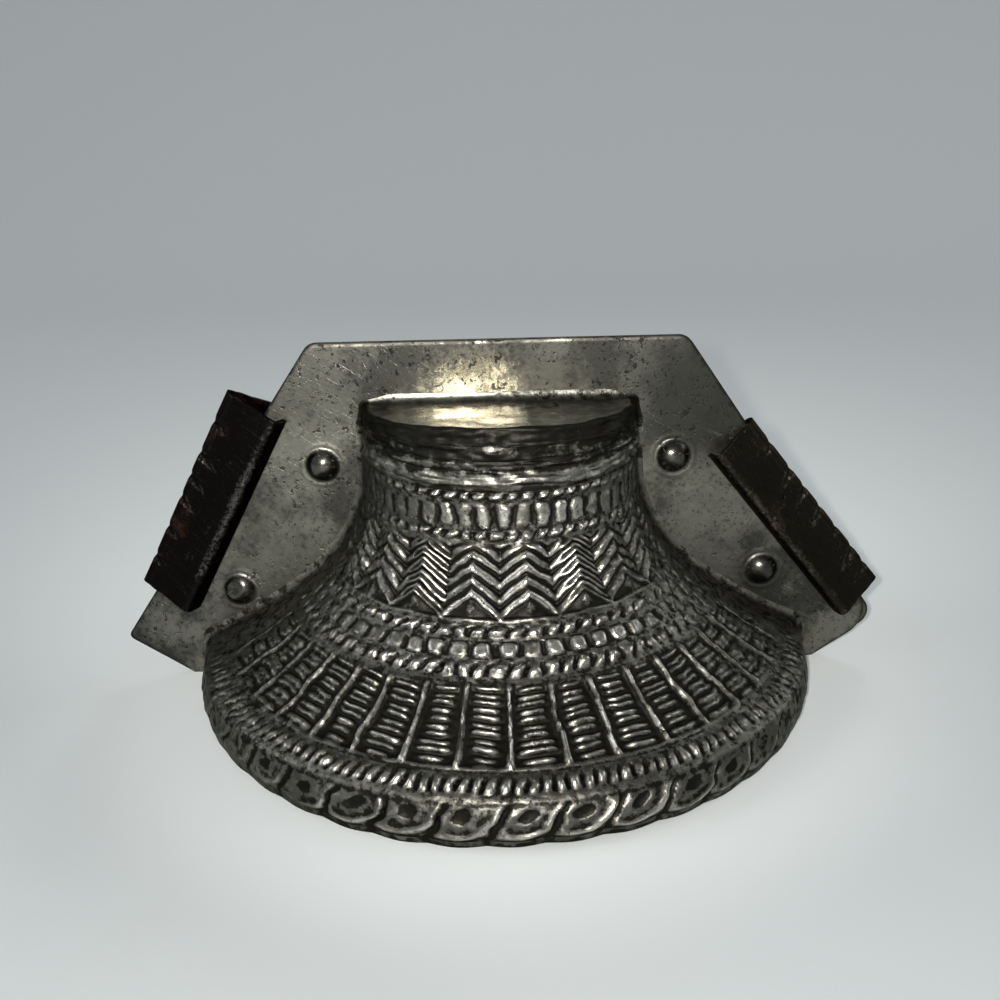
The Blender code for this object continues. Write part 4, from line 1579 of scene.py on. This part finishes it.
def clip_axes(side, sizes):
    """A clip's origin, and its directions out, down along the fold and off the flange."""
    turn = math.radians(sizes["turn"])
    inside = CLIP_FOLD_RADIUS - CLIP_SHEET / 2
    corner = inside - math.sqrt(inside ** 2 - FLANGE_FACE ** 2)
    seat = corner + CLIP_GRIP_GAP + CLIP_SHEET
    stand_out = seat + sizes["unseated"] + CLIP_LENGTH / 2 * abs(math.sin(turn))
    fold = EDGE_TOP + EDGE_DOWN * sizes["down"] + EDGE_OUT * stand_out
    out = Matrix.Rotation(-turn, 2) @ EDGE_OUT
    down = Matrix.Rotation(-turn, 2) @ EDGE_DOWN
    origin, out, down = (Vector((side * one.x, 0.0, one.y)) for one in (fold, out, down))
    return origin, out, down, out.cross(down)


def dart_at(along, from_fold, places):
    """Depth of the darts here, and 1 where the border of a dart is a rubbed crease."""
    depth, crease = 0.0, 0.0
    for number, place in enumerate(places):
        reach = DART_REACH * (0.75 + 0.35 * ((number * 7) % 4) / 3)
        left = max(1 - from_fold / reach, 0.0)
        width = DART_HALF_WIDTH * left
        across = abs(along - place * MM - DART_SLANT * from_fold)
        if across < width:
            deep = 0.5 + 0.5 * soft_step(from_fold, 0.0, DART_DEEPEST)
            depth = max(depth, (1 - across / width) * DART_DEPTH * deep * left)
        if width > 0 and abs(across - width) < CREASE:
            crease = 1.0
    return depth, crease


# %% Clip pieces
def clip_item(name, side, sizes, metal):
    half_line = clip_half_line(sizes)
    lip_length = (half_line[-1] - half_line[-1 - BEND_STEPS]).length
    line = [Vector((point.x, -point.y)) for point in reversed(half_line[1:])] + half_line
    normals = [crosswise(line, index) for index in range(len(line))]
    lengths = [0.0]
    for first, second in zip(line, line[1:]):
        lengths.append(lengths[-1] + (second - first).length)
    apex = lengths[len(half_line) - 1]
    origin, axis_out, axis_down, axis_off = clip_axes(side, sizes)

    stations = round(CLIP_LENGTH / CLIP_PITCH)
    loops, worn = [], []
    for station in range(stations + 1):
        along = CLIP_LENGTH * station / stations
        end = min(along, CLIP_LENGTH - along)
        outer, inner, values = [], [], []
        for point, normal, length in zip(line, normals, lengths):
            from_fold = abs(length - apex)
            from_lip = min(length, lengths[-1] - length)
            dart, crease = dart_at(along, from_fold, sizes["darts"])
            shift = END_LEAN * rumble(from_fold / (3 * MM), station > stations / 2, 7.0 * side)
            shift *= 1 - soft_step(end, 0.0, 4 * MM)
            waver = LIP_WAVER * rumble(along / (9 * MM), from_lip / (6 * MM), side)
            centre = point - normal * (dart - waver * soft_step(from_lip, 0.0, 2 * MM))
            place = min(max(along + shift, 0.0), CLIP_LENGTH) - CLIP_LENGTH / 2
            for store, offset in ((outer, CLIP_SHEET / 2), (inner, -CLIP_SHEET / 2)):
                spot = centre + normal * offset
                store.append(origin + axis_out * spot.x + axis_down * place + axis_off * spot.y)
            off_crest = abs(from_lip - lip_length - CREST_SOFTNESS)
            on_crest = 1 - soft_step(off_crest, 0.4 * MM, 1.3 * MM)
            near_end = 1 - soft_step(end, 0.15 * MM, 0.7 * MM)
            near_lip = 1 - soft_step(from_lip, 0.1 * MM, 0.5 * MM)
            rubbed = max(on_crest * 0.75, near_end * 0.8, near_lip * 0.7, crease * 0.7)
            values.append(0.25 + 0.75 * rubbed)
        loops.append(outer + inner[::-1])
        worn.append(values + [0.3] * len(values))
    return bevelled(swept(name, loops, worn, metal), CLIP_BEVEL)


for clip, side, sizes, metal in (
    ("left_clip", -1, LEFT_CLIP, DARK_STEEL),
    ("right_clip", 1, RIGHT_CLIP, BROWN_STEEL),
):
    item = clip_item(f"{clip}_spring", side, sizes, metal)
    finish_piece(item, clip, clip)

# %% [markdown]
# ## Table and light
# The mould stands on a plain white board that runs up behind it, with soft daylight all round.
# A small lamp stands a finger to the left of the lens. It shines through its own lens at the
# mould and, more weakly, all round itself. A lamp far behind gives the back half its light in
# the views from there. The board is one swept sheet without a corner, so no line shows behind
# the object.

# %% Board
BOARD_FRONT = -1.2
BOARD_BACK = 0.4
BOARD_BEND = 0.8
BOARD_HEIGHT = 1.4
BOARD_HALF_WIDTH = 1.6
BOARD_STEPS = 24
BOARD_GLOSS = 0.25

board_line = [(BOARD_FRONT, 0.0)]
for step in range(BOARD_STEPS + 1):
    turn = QUARTER_TURN * step / BOARD_STEPS
    y = BOARD_BACK + BOARD_BEND * math.sin(turn)
    board_line.append((y, BOARD_BEND * (1 - math.cos(turn))))
board_line.append((BOARD_BACK + BOARD_BEND, BOARD_HEIGHT))
board_shape = bmesh.new()
left_edge = [board_shape.verts.new((-BOARD_HALF_WIDTH, y, z)) for y, z in board_line]
right_edge = [board_shape.verts.new((BOARD_HALF_WIDTH, y, z)) for y, z in board_line]
for index in range(len(board_line) - 1):
    near = (left_edge[index], right_edge[index])
    board_shape.faces.new((*near, right_edge[index + 1], left_edge[index + 1]))

board_paint, board_shader = new_paint("white_board")
board_shader.inputs["Base Color"].default_value = (0.69, 0.72, 0.72, 1.0)
board_shader.inputs["Roughness"].default_value = 0.55
board_shader.inputs["Specular IOR Level"].default_value = BOARD_GLOSS
board = item_from("board", board_shape, board_paint)
board.data.shade_smooth()


# %% Lights
def add_light(name, kind, place, target, power, colour, **settings):
    """A light that stands at a place and looks at a target."""
    light = bpy.data.lights.new(name, kind)
    light.energy = power
    light.color = colour
    for label, value in settings.items():
        setattr(light, label, value)
    item = new_item(name, light)
    item.location = place
    item.rotation_euler = (Vector(target) - Vector(place)).to_track_quat("-Z", "Y").to_euler()


def area_light(name, place, target, size, power, colour):
    add_light(name, "AREA", place, target, power, colour, shape="DISK", size=size)


def spot_light(name, place, target, cone, size, power, colour):
    beam = {"spot_size": math.radians(cone), "spot_blend": 1.0, "shadow_soft_size": size}
    add_light(name, "SPOT", place, target, power, colour, **beam)


# Name, place, target, cone in degrees, size and power
LAMP_PLACE = (-0.013, -0.2, 0.114)
LAMP_COLOUR = (1.0, 0.97, 0.92)
DAYLIGHT = (0.93, 0.97, 1.0)
spot_light("lens_lamp", LAMP_PLACE, (0.0, 0.0, 0.068), 66.0, 0.003, 2.6, LAMP_COLOUR)
spot_light("lamp_glow", LAMP_PLACE, (0.0, 0.0, -0.1), 180.0, 0.006, 0.38, LAMP_COLOUR)
spot_light("back_lamp", (0.25, 0.8, 0.7), (0.0, 0.0, 0.03), 24.0, 0.12, 4.5, DAYLIGHT)

area_light("room_light", (-0.055, -0.8, 0.35), (0.0, 0.0, 0.03), 0.1, 2.8, (1.0, 0.98, 0.95))
area_light("left_window", (-0.95, -0.1, 0.6), (0.0, 0.1, 0.0), 0.7, 3.2, DAYLIGHT)
area_light("right_wall", (1.0, 0.15, 0.65), (0.0, 0.1, 0.0), 0.8, 2.8, (0.95, 0.98, 1.0))

sky = bpy.data.worlds.new("room")
bpy.context.scene.world = sky
sky.use_nodes = True
sky.node_tree.nodes["Background"].inputs["Color"].default_value = (*DAYLIGHT, 1.0)
sky.node_tree.nodes["Background"].inputs["Strength"].default_value = 0.26

bpy.context.scene.view_settings.view_transform = "Standard"
